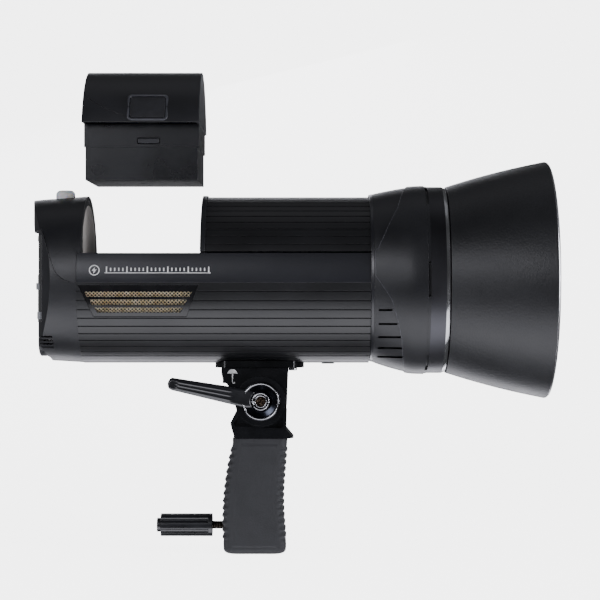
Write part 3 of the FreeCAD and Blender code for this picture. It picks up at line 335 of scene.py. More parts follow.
MARKS, given = started("row of power marks", Count="Int", Spacing="Float", Width="Float",
                       Tall="Float", Material="Material")
row = add(MARKS, "GeometryNodeMeshLine", {"Count": given["Count"],
                                          "Offset": vector(MARKS, X=given["Spacing"])})
mark = add(MARKS, "GeometryNodeMeshGrid", {"Size X": given["Width"], "Size Y": given["Tall"],
                                           "Vertices X": 2, "Vertices Y": 5})
# Every fifth mark is the taller one.
fifth = maths(MARKS, "MODULO", add(MARKS, "GeometryNodeInputIndex").outputs[0], 5.0)
grow = maths(MARKS, "MULTIPLY_ADD", maths(MARKS, "LESS_THAN", fifth, 0.5), 0.8, 1.0)
spread = add(MARKS, "GeometryNodeInstanceOnPoints", {
    "Points": row.outputs[0], "Instance": mark.outputs[0],
    "Scale": vector(MARKS, X=1.0, Y=grow, Z=1.0)})
ended(MARKS, given, spread)


def grown(tree, values):
    """The plain mesh that a node tree makes from an empty object and named inputs."""
    seed = bpy.data.objects.new("seed", bpy.data.meshes.new("seed"))
    scene.collection.objects.link(seed)
    modifier = seed.modifiers.new("tree", "NODES")
    modifier.node_group = tree
    for item in tree.interface.items_tree:
        if item.in_out == "INPUT" and item.name in values:
            modifier[item.identifier] = values[item.name]
    mesh = plain(seed)
    bpy.data.objects.remove(seed)
    return mesh


def strip(form, points):
    """A flat closed outline in mm, as one face of a form."""
    form.faces.new([form.verts.new((across / 1000, height / 1000, 0)) for across, height in points])


def circle(middle, radius, count=40, start=0.0, sweep_turn=math.tau):
    """Points on a circle or arc, in mm."""
    return [(middle[0] + radius * math.cos(start + sweep_turn * k / count),
             middle[1] + radius * math.sin(start + sweep_turn * k / count)) for k in range(count)]


def onto_round(form, radius, lift, raised, side):
    """Wraps a flat form round the tube: X stays, Y becomes arc length above the tube's axis."""
    for vert in form.verts:
        turn = vert.co.y / radius
        reach = radius + raised + vert.co.z
        vert.co = Vector((vert.co.x, side * reach * math.cos(turn),
                          AXIS + lift + reach * math.sin(turn)))


def faced(form, side):
    """Turns a flat or wrapped form's faces to one side of the lamp."""
    form.normal_update()
    for face in form.faces:
        if face.normal.y * side < 0:
            face.normal_flip()


def thickened(made, label, depth):
    """Gives a print or a line its thickness in mm."""
    thick = made.modifiers.new(label, "SOLIDIFY")
    thick.thickness = depth / 1000
    thick.offset = 1.0


# Outside radius of the tube in metres, and the sides with their direction along Y.
TUBE = 0.0633
SIDES = ((-1, "left"), (1, "right"))

for side, name in SIDES:
    form = form_of(grown(MARKS, {"Count": 26, "Spacing": 0.003, "Width": 0.0009, "Tall": 0.0024,
                                 "Material": white_print}))
    bmesh.ops.translate(form, verts=form.verts, vec=(-0.1075, 0.0072, 0))
    strip(form, [(-109, 4.4), (-31, 4.4), (-31, 4.9), (-109, 4.9)])
    outer, inner = (circle((-116.5, 6.6), radius) for radius in (3.9, 3.2))
    for k in range(40):
        strip(form, [outer[k], outer[(k + 1) % 40], inner[(k + 1) % 40], inner[k]])
    strip(form, [(-116.0, 9.2), (-118.3, 6.2), (-116.9, 6.2), (-117.2, 4.0), (-114.8, 7.1),
                 (-116.2, 7.1)])
    joined(form)
    long_edges = [edge for edge in form.edges if edge.calc_length() > 0.004]
    bmesh.ops.subdivide_edges(form, edges=long_edges, cuts=12)
    onto_round(form, TUBE, 0, 0.00004, side)
    faced(form, side)
    thickened(piece("band_print_" + name, form, "head", [white_print]), "ink", 0.05)

# ---- Battery bay ----
# The bay is an open ABS tub between a rear wall with a sheet-metal plate and a flanged
# bulkhead. All are black injection mouldings with a light spark-eroded texture.

# Textured moulding: near-black and matt, with broad dull highlights.
housing = coated("moulded_black_abs_spark_texture", 30, "#111216", "#17181c", (0.38, 0.48),
                 grain=(1.1, 0.05), IOR=1.53)
# Coated steel: a warm light grey that stands out in the black bay.
plate_steel = coated("warm_grey_coated_steel_plate", 25, "#bdb7b0", "#ccc6bf", (0.42, 0.52),
                     grain=(0.5, 0.006), IOR=1.5)
finished("battery_tub", housing, edge=0.4)
finished("bay_rear_wall", housing)
finished("bay_plate", plate_steel, edge=0.2)
finished("bulkhead", housing, edge=0.45, steps=3)

# ---- Cooling vents ----
# Each vent is a moulded frame with three long slots, and a sheet of woven brass wire is
# heat-staked behind it. The wires cross on the bias and the open weave glints gold.

# Gloss moulding: a deep black that sets off the gauze.
frame_gloss = coated("moulded_gloss_black_frame", 20, "#08080a", "#0d0d10", (0.22, 0.3), IOR=1.5)
finished("vent_frames", frame_gloss, edge=0.35)
# Brass wire: pale gold glints that vary from wire to wire.
brass_wire = coated("woven_pale_brass_wire", 4, "#c9b485", "#f3ead2", (0.28, 0.42), Metallic=0.65)

WEAVE, given = started("woven wire on a tube", Pitch="Float", Wire_radius="Float", Height="Float",
                       Tube_radius="Float", Wires="Int", Material="Material")
cloth = add(WEAVE, "GeometryNodeJoinGeometry")
bands = []
for way in (1.0, -1.0):
    wire = add(WEAVE, "GeometryNodeCurvePrimitiveLine", {
        "Start": vector(WEAVE, X=0.0),
        "End": vector(WEAVE, X=maths(WEAVE, "MULTIPLY", given["Height"], way), Z=given["Height"])})
    fine = add(WEAVE, "GeometryNodeResampleCurve", {"Curve": wire.outputs[0], "Count": 66})
    step = maths(WEAVE, "MULTIPLY", given["Pitch"], math.sqrt(2))
    begin = maths(WEAVE, "MULTIPLY", given["Height"], -1.0 if way == 1 else 0.0)
    row = add(WEAVE, "GeometryNodeMeshLine", {
        "Count": given["Wires"], "Start Location": vector(WEAVE, X=begin),
        "Offset": vector(WEAVE, X=step)})
    spread = add(WEAVE, "GeometryNodeInstanceOnPoints", {"Points": row.outputs[0],
                                                         "Instance": fine.outputs[0]})
    loose = add(WEAVE, "GeometryNodeRealizeInstances", {"Geometry": spread.outputs[0]})
    at = add(WEAVE, "ShaderNodeSeparateXYZ",
             {0: add(WEAVE, "GeometryNodeInputPosition").outputs[0]}).outputs
    # Each wire rides over one crossing and under the next.
    waves = []
    for operation in ("ADD", "SUBTRACT"):
        turns = maths(WEAVE, "DIVIDE", maths(WEAVE, operation, at["X"], at["Z"]), step)
        waves.append(maths(WEAVE, "COSINE", maths(WEAVE, "MULTIPLY", turns, math.pi)))
    lift = maths(WEAVE, "MULTIPLY", maths(WEAVE, "MULTIPLY", *waves), given["Wire radius"])
    bands.append(add(WEAVE, "GeometryNodeSetPosition", {
        "Geometry": loose.outputs[0],
        "Offset": vector(WEAVE, Y=maths(WEAVE, "MULTIPLY", lift, way))}).outputs[0])
for band in bands:
    WEAVE.links.new(band, cloth.inputs[0])
at = add(WEAVE, "ShaderNodeSeparateXYZ",
         {0: add(WEAVE, "GeometryNodeInputPosition").outputs[0]}).outputs
turn = maths(WEAVE, "DIVIDE", at["Z"], given["Tube radius"])
out = maths(WEAVE, "ADD", given["Tube radius"], at["Y"])
wrapped = add(WEAVE, "GeometryNodeSetPosition", {
    "Geometry": cloth.outputs[0],
    "Position": vector(WEAVE, X=at["X"], Y=maths(WEAVE, "MULTIPLY", out, maths(WEAVE, "COSINE", turn)),
                       Z=maths(WEAVE, "MULTIPLY", out, maths(WEAVE, "SINE", turn)))})
section = add(WEAVE, "GeometryNodeCurvePrimitiveCircle", {"Resolution": 4,
                                                          "Radius": given["Wire radius"]})
round_wire = add(WEAVE, "GeometryNodeCurveToMesh", {
    "Curve": wrapped.outputs[0], "Profile Curve": section.outputs[0], "Fill Caps": True})
ended(WEAVE, given, round_wire)


def sliced(form, along, way, trimmed):
    """Cuts a form across the tube, and can drop what lies beyond the cut."""
    bmesh.ops.bisect_plane(form, geom=form.verts[:] + form.edges[:] + form.faces[:],
                           plane_co=(along, 0, 0), plane_no=(way, 0, 0), clear_outer=trimmed)


# Real gauze like this has a wire every 1.2 mm or so. It is drawn at 1.9 mm to stay visible.
form = form_of(grown(WEAVE, {"Pitch": 0.0019, "Wire radius": 0.00036, "Height": 0.0205,
                             "Tube radius": 0.0602, "Wires": 40, "Material": brass_wire}))
bmesh.ops.translate(form, verts=form.verts, vec=(-0.126, 0, 0))
for vert in form.verts:
    angle = math.atan2(vert.co.z, vert.co.y) - 0.4565
    reach = math.hypot(vert.co.y, vert.co.z)
    vert.co.y, vert.co.z = reach * math.cos(angle), reach * math.sin(angle) + AXIS
sliced(form, -0.1262, -1, True)
sliced(form, -0.0426, 1, True)
# The same sheet again, mirrored to the other side.
spare = bpy.data.meshes.new("spare")
other = form.copy()
bmesh.ops.scale(other, verts=other.verts, vec=(1, -1, 1))
bmesh.ops.reverse_faces(other, faces=other.faces)
other.to_mesh(spare)
other.free()
form.from_mesh(spare)
outward(form)
piece("vent_gauze", form, "head", [brass_wire], ["vent_mesh"])

# ---- Rear hood, cover and trigger sensor ----
# The hood and the cover are two ABS mouldings that clip together along a swept line. The
# trigger sensor looks out through a frosted cap on top of the hood.
finished("rear_hood", housing, edge=0.9, steps=4)
finished("rear_cover", housing, edge=1.0, steps=4)


def drawn_bead(name, path, size, body, coat, closed=False):
    """A round bead laid along points in metres, with its radius in mm."""
    curve = bpy.data.curves.new(name, "CURVE")
    curve.dimensions = "3D"
    curve.bevel_depth = size / 1000
    curve.bevel_resolution = 2
    line = curve.splines.new("POLY")
    line.points.add(len(path) - 1)
    for point, place in zip(line.points, path):
        point.co = (*place, 1)
    line.use_cyclic_u = closed
    holder = bpy.data.objects.new(name + "_path", curve)
    scene.collection.objects.link(holder)
    mesh = plain(holder)
    bpy.data.objects.remove(holder)
    form = form_of(mesh)
    joined(form)
    bmesh.ops.holes_fill(form, edges=form.edges, sides=0)
    outward(form)
    return piece(name, form, body, [coat])


rear_skin = bmesh.new()
for node in ("rear_hood", "rear_cover"):
    rear_skin.from_mesh(solids[node].data)
rear_surface = BVHTree.FromBMesh(rear_skin)
rear_skin.free()
# The joint's line from the side: place along the tube and height above its axis, in mm.
swept_line = [(-134.5, -2.1), (-138.5, -0.9), (-142.9, 2.3), (-146.1, 6.7), (-148.2, 11.8),
              (-151.0, 20.4), (-153.9, 29.2), (-156.2, 36.4)]
for side, name in SIDES:
    trail = []
    for start, end in zip(swept_line, swept_line[1:]):
        for k in range(6):
            along, level = (start[axis] + (end[axis] - start[axis]) * k / 6 for axis in (0, 1))
            hit = rear_surface.ray_cast(Vector((along / 1000, side * 0.12, AXIS + level / 1000)),
                                        Vector((0, -side, 0)))[0]
            if hit:
                trail.append(hit)
    drawn_bead("hood_seam_" + name, trail, 0.32, "head", frame_gloss)

# Frosted cap: milky white, softly lit from within at its edges.
frosted, tree, shader = finish("frosted_white_polycarbonate", IOR=1.58, Subsurface_Weight=0.35,
                               Subsurface_Scale=0.002, Transmission_Weight=0.1)
place = mottled(tree, shader, 6, "#e4e5e4", "#f2f3f2", (0.35, 0.45))
grained(tree, shader, place, 0.3, 0.006)
finished("sensor_dome", frosted, edge=0.25)

# ---- Control panel, keys and dial ----
# A curved glossy fascia holds the display window and six soft keys, and the dial below
# sits in a round well between the two sockets.

# Gloss lacquer: sharp reflections on a deep black.
fascia = coated("piano_black_fascia", 50, "#0a0a0c", "#0f1012", (0.14, 0.2),
                IOR=1.5, Coat_Weight=0.5, Coat_Roughness=0.06)
# Smoked glass: a dark green-grey window with a mirror-like face.
window = coated("smoked_display_glass", 70, "#171c1d", "#1f2627", (0.05, 0.09),
                IOR=1.5, Coat_Weight=1.0, Coat_Roughness=0.03)
# Key rubber: mid grey, dry and slightly grainy.
key_grey = coated("moulded_grey_key_rubber", 5, "#8b8d90", "#9b9da0", (0.5, 0.6),
                  grain=(0.3, 0.012), IOR=1.45)
# Dial: dull grained black, lighter in patches as if handled.
dial_black = coated("knurled_black_abs_dial", 4, "#1a1b1e", "#26282b", (0.3, 0.42),
                    grain=(0.35, 0.02), IOR=1.53)
# Nickel: dim grey metal with soft reflections.
socket_steel = coated("nickel_plated_socket", 3, "#8e8d8a", "#a9a8a5", (0.22, 0.34), Metallic=1.0)
finished("control_panel", fascia)
finished("display_window", window, edge=0.15)
for key in ("menu_button", "mode_button", "sync_button", "test_button", "power_button", "lamp_button"):
    finished(key, key_grey, edge=0.6, steps=3)
finished("control_dial", dial_black)

# Height of the dial's axis, and the steps round a turned ring.
DIAL = AXIS - 0.046
AROUND = 96
KNURL, given = started("knurl ribs round a dial", Ribs="Int", Dial_radius="Float",
                       Rib_radius="Float", Depth="Float", Material="Material")
rim = add(KNURL, "GeometryNodeMeshCircle", {"Vertices": given["Ribs"], "Radius": given["Dial radius"]})
rib = add(KNURL, "GeometryNodeMeshCylinder", {"Vertices": 8, "Radius": given["Rib radius"],
                                              "Depth": given["Depth"]})
around = add(KNURL, "GeometryNodeInstanceOnPoints", {"Points": rim.outputs[0],
                                                     "Instance": rib.outputs[0]})
ended(KNURL, given, add(KNURL, "GeometryNodeTransform", {"Geometry": around.outputs[0],
                                                         "Rotation": (0, math.pi / 2, 0)}))
form = form_of(grown(KNURL, {"Ribs": 44, "Dial radius": 0.0118, "Rib radius": 0.00042, "Depth": 0.0042,
                             "Material": dial_black}))
bmesh.ops.translate(form, verts=form.verts, vec=(-0.1613, 0, DIAL))
piece("dial_knurl", form, "dial", [dial_black])


def skinned(form, loops, closed=True):
    """Joins rings of points into a skin, and turns its faces outward."""
    for first, second in zip(loops, loops[1:] + (loops[:1] if closed else [])):
        for k in range(len(first)):
            after = (k + 1) % len(first)
            form.faces.new((first[k], first[after], second[after], second[k]))
    outward(form)


def turned_ring(form, profile, point):
    """Turns a closed profile of depths and radii into a ring, through a rule for its points."""
    skinned(form, [[form.verts.new(point(*spot, math.tau * k / AROUND)) for spot in profile]
                   for k in range(AROUND)])


form = bmesh.new()
turned_ring(form, ((-0.16455, 0.0078), (-0.1648, 0.0081), (-0.1648, 0.0088), (-0.16455, 0.0091),
                   (-0.1642, 0.0091), (-0.1642, 0.0078)),
            lambda along, reach, turn: (along, reach * math.sin(turn), DIAL + reach * math.cos(turn)))
piece("dial_ring", form, "dial", [socket_steel])
finished("sync_socket", socket_steel, edge=0.15)
finished("data_socket", socket_steel, edge=0.12)

# ---- Front collar and mount ring ----
# The collar is a moulded shroud that flares from the tube to the accessory mount, with
# five cooling slits a side. The mount ring in front is machined and anodised aluminium.

# Rings that the collar passes through: place along the tube, radius and rise of the centre, in mm.
COLLAR_RINGS = [(86.8, 63.1, 1.7), (98, 66.6, 0.9), (110, 69.4, 0.3), (118, 70.8, 0.0),
                (130.5, 71.3, 0.0)]


def collar_ring(along):
    """The collar's radius and the rise of its centre at a place along the tube, in mm."""
    last = len(COLLAR_RINGS) - 1
    index = next((k for k in range(last) if along <= COLLAR_RINGS[k + 1][0]), last - 1)
    before, first, second, after = (COLLAR_RINGS[min(max(index + k, 0), last)]
                                    for k in (-1, 0, 1, 2))
    span = second[0] - first[0]
    part = (along - first[0]) / span
    made = []
    for value in (1, 2):
        slope = (second[value] - before[value]) / (second[0] - before[0]) * span
        next_slope = (after[value] - first[value]) / (after[0] - first[0]) * span
        made.append((2 * part ** 3 - 3 * part ** 2 + 1) * first[value]
                    + (part ** 3 - 2 * part ** 2 + part) * slope
                    + (3 * part ** 2 - 2 * part ** 3) * second[value]
                    + (part ** 3 - part ** 2) * next_slope)
    return made


def collar_point(along, turn, raised):
    """A point on the collar, at an angle above the near side's middle, in metres."""
    radius, rise = collar_ring(along)
    reach = (radius + raised) / 1000
    return (along / 1000, -reach * math.cos(turn), AXIS + rise / 1000 + reach * math.sin(turn))


def collar_band(start, end, proud, rows=18, columns=240):
    """A closed band over the collar between two edges that may wander along the tube."""
    form = bmesh.new()
    loops = []
    for column in range(columns):
        turn = math.tau * column / columns
        level = math.degrees(math.asin(math.sin(turn)))
        near = math.cos(turn) > 0
        first, last = start(level, near), end(level, near)
        places = [first + (last - first) * k / rows for k in range(rows + 1)]
        loop = [collar_point(first, turn, -0.4)]
        loop += [collar_point(along, turn, proud) for along in places]
        loop += [collar_point(last, turn, -0.4)]
        loops.append([form.verts.new(point) for point in loop])
    skinned(form, loops)
    return form


# The wing's rear edge: angle above the tube's side in degrees, and place along it in mm.
SEAM = [(-90, 115), (-40, 109.8), (-26, 106.5), (-13, 101.9), (-0.6, 91.6), (0.5, 90.0),
        (17.5, 90.0), (19.5, 92.3), (50, 107.4), (90, 117.2)]


def seam_place(level, near):
    """Where the raised wing of the collar begins, for a height angle in degrees."""
    for first, second in zip(SEAM, SEAM[1:]):
        if level <= second[0]:
            return first[1] + (second[1] - first[1]) * (level - first[0]) / (second[0] - first[0])
    return SEAM[-1][1]


def wing_end(level, near):
    """The wing stops short of the release slide on the far side."""
    return 128.4 if near or abs(level) > 9 else 111.4


# Six shallow notches are cut in the collar's front edge, each between two angles in degrees.
form = bmesh.new()
profile = ((0.1286, 0.0695), (0.1286, 0.075), (0.1309, 0.075), (0.1309, 0.0695))
for low, high in ((-10.5, 10.5), (52, 79), (-73, -52), (169.5, 190.5), (101, 128), (-128, -107)):
    loops = []
    for k in range(13):
        turn = math.radians(low + (high - low) * k / 12)
        loops.append([form.verts.new((along, -reach * math.cos(turn), AXIS + reach * math.sin(turn)))
                      for along, reach in profile])
    skinned(form, loops, closed=False)
    form.faces.new(loops[0])
    form.faces.new(loops[-1])
outward(form)
collar = piece("front_collar_finish", carved(welded("front_collar"), form), "head", [housing],
               ["front_collar"])
rounded(collar, 0.3)
wing = piece("collar_wing", collar_band(seam_place, wing_end, 0.75), "head", [housing])
rounded(wing, 0.35, steps=3)

# Painted highlight: a thin lighter grey line that stands in for the light a moulded edge catches.
painted_highlight_grey = coated("painted_highlight_grey_edge", 10, "#3a3b40", "#4b4c52", (0.3, 0.4), IOR=1.5)
# The wing's rear edge is real, and the thin grey bead laid along it is a painted highlight on that
# edge.
seam_path = []
for column in range(240):
    turn = math.tau * column / 240
    level = math.degrees(math.asin(math.sin(turn)))
    seam_path.append(collar_point(seam_place(level, True) - 0.05, turn, 0.55))
drawn_bead("collar_seam_painted_highlight", seam_path, 0.28, "head", painted_highlight_grey, closed=True)
# A thin black sheet inside is painted shade: it stands where the inside lies in shade and keeps the
# slits dark.
form = bmesh.new()
turned_ring(form, ((0.0895, 0.0602), (0.0895, 0.0608), (0.126, 0.0608), (0.126, 0.0602)),
            lambda along, reach, turn: (along, reach * math.cos(turn), AXIS + reach * math.sin(turn)))
piece("collar_shade_sheet", form, "head", [housing])
lip_form = collar_band(lambda level, near: 86.9, lambda level, near: 89.2, 0.35, rows=2)
lip = piece("collar_rear_lip", lip_form, "head", [band_paint])
rounded(lip, 0.25)
# Anodised metal: dark grey with one broad satin band of light.
ring_metal = coated("satin_dark_anodised_aluminium", 40, "#404043", "#4c4c50", (0.34, 0.42),
                    grain=(0.9, 0.008), Metallic=1.0)
# Cut chamfer: bare bright metal, a white line round the ring.
polished = coated("diamond_cut_bright_chamfer", 20, "#a9aaac", "#c4c5c7", (0.16, 0.24),
                  Metallic=1.0)
# The ring's front corner is drawn in to a chamfer, and the chamfer is left bright.
form = welded("mount_ring")
sliced(form, 0.1419, 1, False)
chamfer_reach = 0.0699
for vert in form.verts:
    reach = math.hypot(vert.co.y, vert.co.z - AXIS)
    if reach > 0.0705 and vert.co.x > 0.1445:
        vert.co.y *= chamfer_reach / reach
        vert.co.z = AXIS + (vert.co.z - AXIS) * chamfer_reach / reach
        vert.co.x = 0.1447
for face in form.faces:
    middle = face.calc_center_median()
    if middle.x > 0.142 and math.hypot(middle.y, middle.z - AXIS) > 0.0701:
        face.material_index = 1
ring = piece("mount_ring_finish", form, "head", [ring_metal, polished], ["mount_ring"])
rounded(ring, 0.4, turn=40, steps=3)
finished("mount_release", housing, edge=0.6, steps=3)

# ---- Reflector ----
# A standard 7 inch reflector, spun from aluminium with a rolled lip and a riveted
# bayonet sleeve. It is powder coated black outside and left pearl silver inside.

# Powder coat: an orange-peel grain that breaks up the long highlight.
powder = coated("fine_black_powder_coat", 40, "#121316", "#1a1b1e", (0.40, 0.48),
                grain=(1.5, 0.16, 3.0), IOR=1.5, Coat_Weight=0.1, Coat_Roughness=0.4)
# Pearl lining: soft silver that spreads light with no hot spot.
pearl = coated("pearl_silver_reflector_lining", 60, "#cecfd0", "#d8d9da", (0.30, 0.33),
               grain=(1.8, 0.05, 1.0), Metallic=1.0)
# The wall is pearl on the side that faces the lamp's axis, on the inside of its floor and on the lip.
form = welded("reflector_bowl")
for face in form.faces:
    middle = face.calc_center_median()
    away = Vector((0, middle.y, middle.z - AXIS))
    on_wall = away.length > 0.0695
    inside = face.normal.dot(away.normalized()) < -0.3 if on_wall else face.normal.x > 0.7
    face.material_index = 1 if (inside and middle.x > 0.1468) or middle.x > 0.2212 else 0
bowl = piece("reflector_bowl_finish", form, "reflector", [powder, pearl],
             ["reflector_bowl"])
rounded(bowl, 0.4, turn=40)
finished("reflector_mount", ring_metal, edge=0.25)

# ---- Flash head and fan ----
# A ring-shaped xenon tube and an LED modelling lamp stand on a white base under a clear
# glass dome, with a fan behind them inside the tube.

# Clear glass: nearly invisible, with thin bright rims.
glass, tree, shader = finish("clear_borosilicate_dome", IOR=1.47, Transmission_Weight=1.0,
                             Roughness=0.02, Base_Color=colour("#f7fafa"))
place = add(tree, "ShaderNodeTexCoord").outputs["Object"]
grained(tree, shader, place, 30, 0.01)
# Quartz: creamy and half clear, with small sharp highlights.
xenon = coated("xenon_quartz_tube", 6, "#d9d4c2", "#efe9d6", (0.08, 0.16),
               IOR=1.46, Transmission_Weight=0.6)
# Ceramic: clean off-white with a low sheen.
lamp_white = coated("white_ceramic_lamp_base", 20, "#d5d5d2", "#e5e5e2", (0.4, 0.5), IOR=1.5)
finished("glass_dome", glass, steps=3)
finished("flash_tube", xenon, edge=0.1)
finished("modelling_lamp", lamp_white)
finished("lamp_base", lamp_white)
finished("fan_frame", housing, edge=0.4)
finished("fan_rotor", housing, edge=0.25)

# ---- Electronics inside the tube ----
# Five sleeved flash capacitors, the power board and the main board fill the tube, and wrapped
# cells fill the battery. They keep their built shapes and are only given their finishes.

# Sleeving: dark slate with a glossy wrap.
sleeve_film = coated("shrink_film_on_capacitors", 30, "#20242c", "#2a2f39", (0.2, 0.3),
                     IOR=1.5, Coat_Weight=0.4)
# Solder mask: patchy mid green with a low gloss.
board = coated("green_solder_mask_board", 6, "#1d4a2e", "#285c3b", (0.3, 0.4), IOR=1.5)
# Cell film: a glossy blue wrap.
cell_film = coated("shrink_film_on_cells", 20, "#2b4f7a", "#345c8b", (0.25, 0.35),
                   IOR=1.5, Coat_Weight=0.4)
for node, coat in (("flash_capacitors", sleeve_film), ("power_board", board), ("main_board", board),
                   ("battery_cells", cell_film)):
    coats = solids[node].data.materials
    if not coats:
        coats.append(coat)
    for index in range(len(coats)):
        coats[index] = coat

# ---- Bracket, tilt bolt and lever ----
# A die-cast zinc bracket hangs from a saddle plate under the tube. The lever clamps it to
# the grip, round a hub with a bright ring, a dished cap and a cross-slotted screw.

# Painted casting: the blackest finish, with a tight gloss on rounded edges.
cast = coated("black_painted_zinc_casting", 14, "#0b0c0e", "#111215", (0.19, 0.27),
              grain=(1.1, 0.01), IOR=1.45)
# Chrome: clean bright metal with sharp reflections.
chrome = coated("bright_chrome_plate", 9, "#bfc0c2", "#d3d4d6", (0.08, 0.16), Metallic=1.0)
# Dark chrome: a smoky mirror that runs from black to grey across the dish.
dished = coated("dark_chromed_dished_cap", 5, "#23252b", "#3c3f47", (0.12, 0.2), Metallic=1.0)
# Zinc plating: brown-gold flecks of light in the cross slot.
screw_steel = coated("yellow_zinc_plated_screw", 1.6, "#2c241b", "#66574a", (0.2, 0.34),
                     Metallic=1.0)
finished("mount_plate", cast, edge=0.5)
finished("plate_screws", chrome, edge=0.4)
finished("foot_pad", housing, edge=0.4)
finished("tilt_bracket", cast, edge=0.8, steps=3)
finished("tilt_bolt", chrome)
finished("friction_washers", dial_black, edge=0.2)
finished("lever_handle", cast, edge=0.8, steps=3)
# Smoked chrome: a dark ring between the bright beads.
dark_chrome = coated("dark_smoked_chrome_ring", 9, "#2c2c2f", "#3c3c40", (0.14, 0.22), Metallic=1.0)
finished("lever_ring", dark_chrome, edge=0.6, steps=3)

# The tilt bolt's place along the lamp and its height, in mm.
PIVOT = (5.1, 117.0)


def lathed(name, profiles, body, coat):
    """Closed rings turned about the lever's bolt, from profiles of depth and radius in mm."""
    form = bmesh.new()
    for profile in profiles:
        turned_ring(form, profile, lambda depth, reach, turn: (
            (PIVOT[0] + reach * math.cos(turn)) / 1000, depth / 1000,
            (PIVOT[1] + reach * math.sin(turn)) / 1000))
    return piece(name, form, body, [coat])


def bead(depth, reach, size, count=10):
    """A round bead's section, in mm."""
    turns = [math.tau * k / count for k in range(count)]
    return [(depth + size * math.sin(turn), reach + size * math.cos(turn)) for turn in turns]


lathed("lever_bright_beads",
       [bead(-35.35, 13.3, 0.55), bead(-35.6, 6.1, 0.5), bead(-35.2, 4.3, 0.38)],
       "lever", chrome)

# The blade is a grid of steps along it and lanes across it: crowned, with three fine ridges, a
# rounded tip and a root that fits the round hub. Sizes are in mm from the bolt.
TILT = math.radians(11)
STEPS, LANES = 60, 40
form = bmesh.new()
rows = []
for step in range(STEPS + 1):
    part = step / STEPS
    row = []
    for lane in range(LANES + 1):
        side = lane / (LANES / 2) - 1
        start = math.sqrt(7.1 ** 2 - (side * 5.6) ** 2)
        out = start + (71 - start) * part
        half = 6.9 - 2.6 * max(0, (out - 10) / 61)
        if out < 10:
            half = 5.6 + 1.3 * (out - start) / max(10 - start, 0.1) if start < 10 else 6.9
        if out > 66.5:
            half *= math.sqrt(max(0.0, 1 - ((out - 66.5) / 4.5) ** 2)) * 0.98 + 0.02
        across = side * half
        crown = 1.3 * (1 - abs(side) ** 6)
        ridge = sum(math.exp(-((across - place * half * 0.52) / 0.62) ** 2)
                    for place in (-1, 0, 1))
        window_part = min(max((out - 21) / 4, 0), 1) * min(max((65 - out) / 3, 0), 1)
        depth = -33.6 - crown - 1.05 + 0.55 * max(0, (out - 20) / 50) - 0.6 * ridge * window_part
        if step in (0, STEPS) or lane in (0, LANES):
            depth = max(depth, -33.6)
        row.append((out, across, depth))
    rows.append(row)
grid = [[form.verts.new(((PIVOT[0] - out * math.cos(TILT) - across * math.sin(TILT)) / 1000,
                         depth / 1000,
                         (PIVOT[1] + out * math.sin(TILT) - across * math.cos(TILT)) / 1000))
         for out, across, depth in row] for row in rows]
base = [[form.verts.new((vert.co.x, -0.0326, vert.co.z)) for vert in row] for row in grid]
for layer in (grid, base):
    for first, second in zip(layer, layer[1:]):
        for k in range(LANES):
            form.faces.new((first[k], first[k + 1], second[k + 1], second[k]))
edge_top, edge_low = (
    layer[0] + [row[-1] for row in layer[1:]] + layer[-1][-2::-1] + [row[0] for row in layer[-2:0:-1]]
    for layer in (grid, base))
for k in range(len(edge_top)):
    after = (k + 1) % len(edge_top)
    form.faces.new((edge_top[k], edge_top[after], edge_low[after], edge_low[k]))
outward(form)
# Gloss paint: long clean highlights along the lever's ridges.
lever_gloss = coated("gloss_black_cast_lever", 14, "#101114", "#191a1e", (0.26, 0.36),
                     IOR=1.5, Coat_Weight=0.6, Coat_Roughness=0.12)
piece("lever_blade", form, "lever", [lever_gloss])

# A small umbrella sign is printed by the clamp's bore: canopy, shaft and hooked handle.
form = bmesh.new()
shade = circle((-16.4, 137.2), 3.7, 24, 0.0, math.pi * 24 / 23)
scallops = []
for middle in (-18.87, -16.4, -13.93):
    scallops += [(middle + 1.233 * math.cos(turn), 137.2 + 0.5 * math.sin(turn))
                 for turn in (math.pi - math.pi * k / 6 for k in range(7))]
strip(form, shade + scallops[1:-1])
strip(form, [(-16.8, 137.4), (-16.8, 131.4), (-16.0, 131.4), (-16.0, 137.4)])
strip(form, [(-16.8, 131.4), (-16.0, 131.4), (-15.4, 130.5), (-14.6, 131.3), (-14.0, 131.0),
             (-14.8, 129.7), (-16.2, 129.8)])
for vert in form.verts:
    vert.co = Vector((vert.co.x, -0.02452, vert.co.y))
bmesh.ops.triangulate(form, faces=form.faces)
faced(form, -1)
thickened(piece("umbrella_mark", form, "head", [white_print]), "ink", 0.08)
finished("lever_cap", dished)
finished("lever_screw", screw_steel, edge=0.25)
finished("umbrella_knob", cast, edge=0.4)

# ---- Grip ----
# The grip is a die-cast core with a knuckle that the bracket turns on, and a moulded
# rubber sleeve ridged along its front and back edges.
finished("grip_head", cast, edge=0.7, steps=3)
# Rubber: dry charcoal with a fine grain and no clear highlight.
rubber = coated("charcoal_moulded_rubber", 12, "#1e1f22", "#27282b", (0.6, 0.72),
                grain=(1.1, 0.12), IOR=1.45, Sheen_Weight=0.12, Sheen_Roughness=0.6)


def through(points, height):
    """A smooth curve through three points, given as height and place."""
    (a, fa), (b, fb), (c, fc) = points
    return (fa * (height - b) * (height - c) / ((a - b) * (a - c))
            + fb * (height - a) * (height - c) / ((b - a) * (b - c))
            + fc * (height - a) * (height - b) / ((c - a) * (c - b)))


def grip_edges(height):
    """The rear edge, the front edge and the half width of the sleeve at a height, in mm."""
    heel = 5 * (1 - math.sqrt(max(0.0, 1 - ((5 - height) / 5) ** 2))) if height < 5 else 0.0
    rear = -24 - 0.4 * (height - 5) / 17
    if height > 22:
        rear = through([(22, -24.4), (62, -21.5), (88, -15.8)], height)
    front = 24.2 - (height - 5) / 15
    if height >= 62:
        front = 23.2 + 2.1 * (height - 62) / 26
    elif height > 20:
        front = through([(20, 23.2), (42, 22.1), (62, 23.2)], height)
    return (rear if height > 5 else -24) + heel, (front if height > 5 else 24.2) - heel, 17 - heel * 0.9


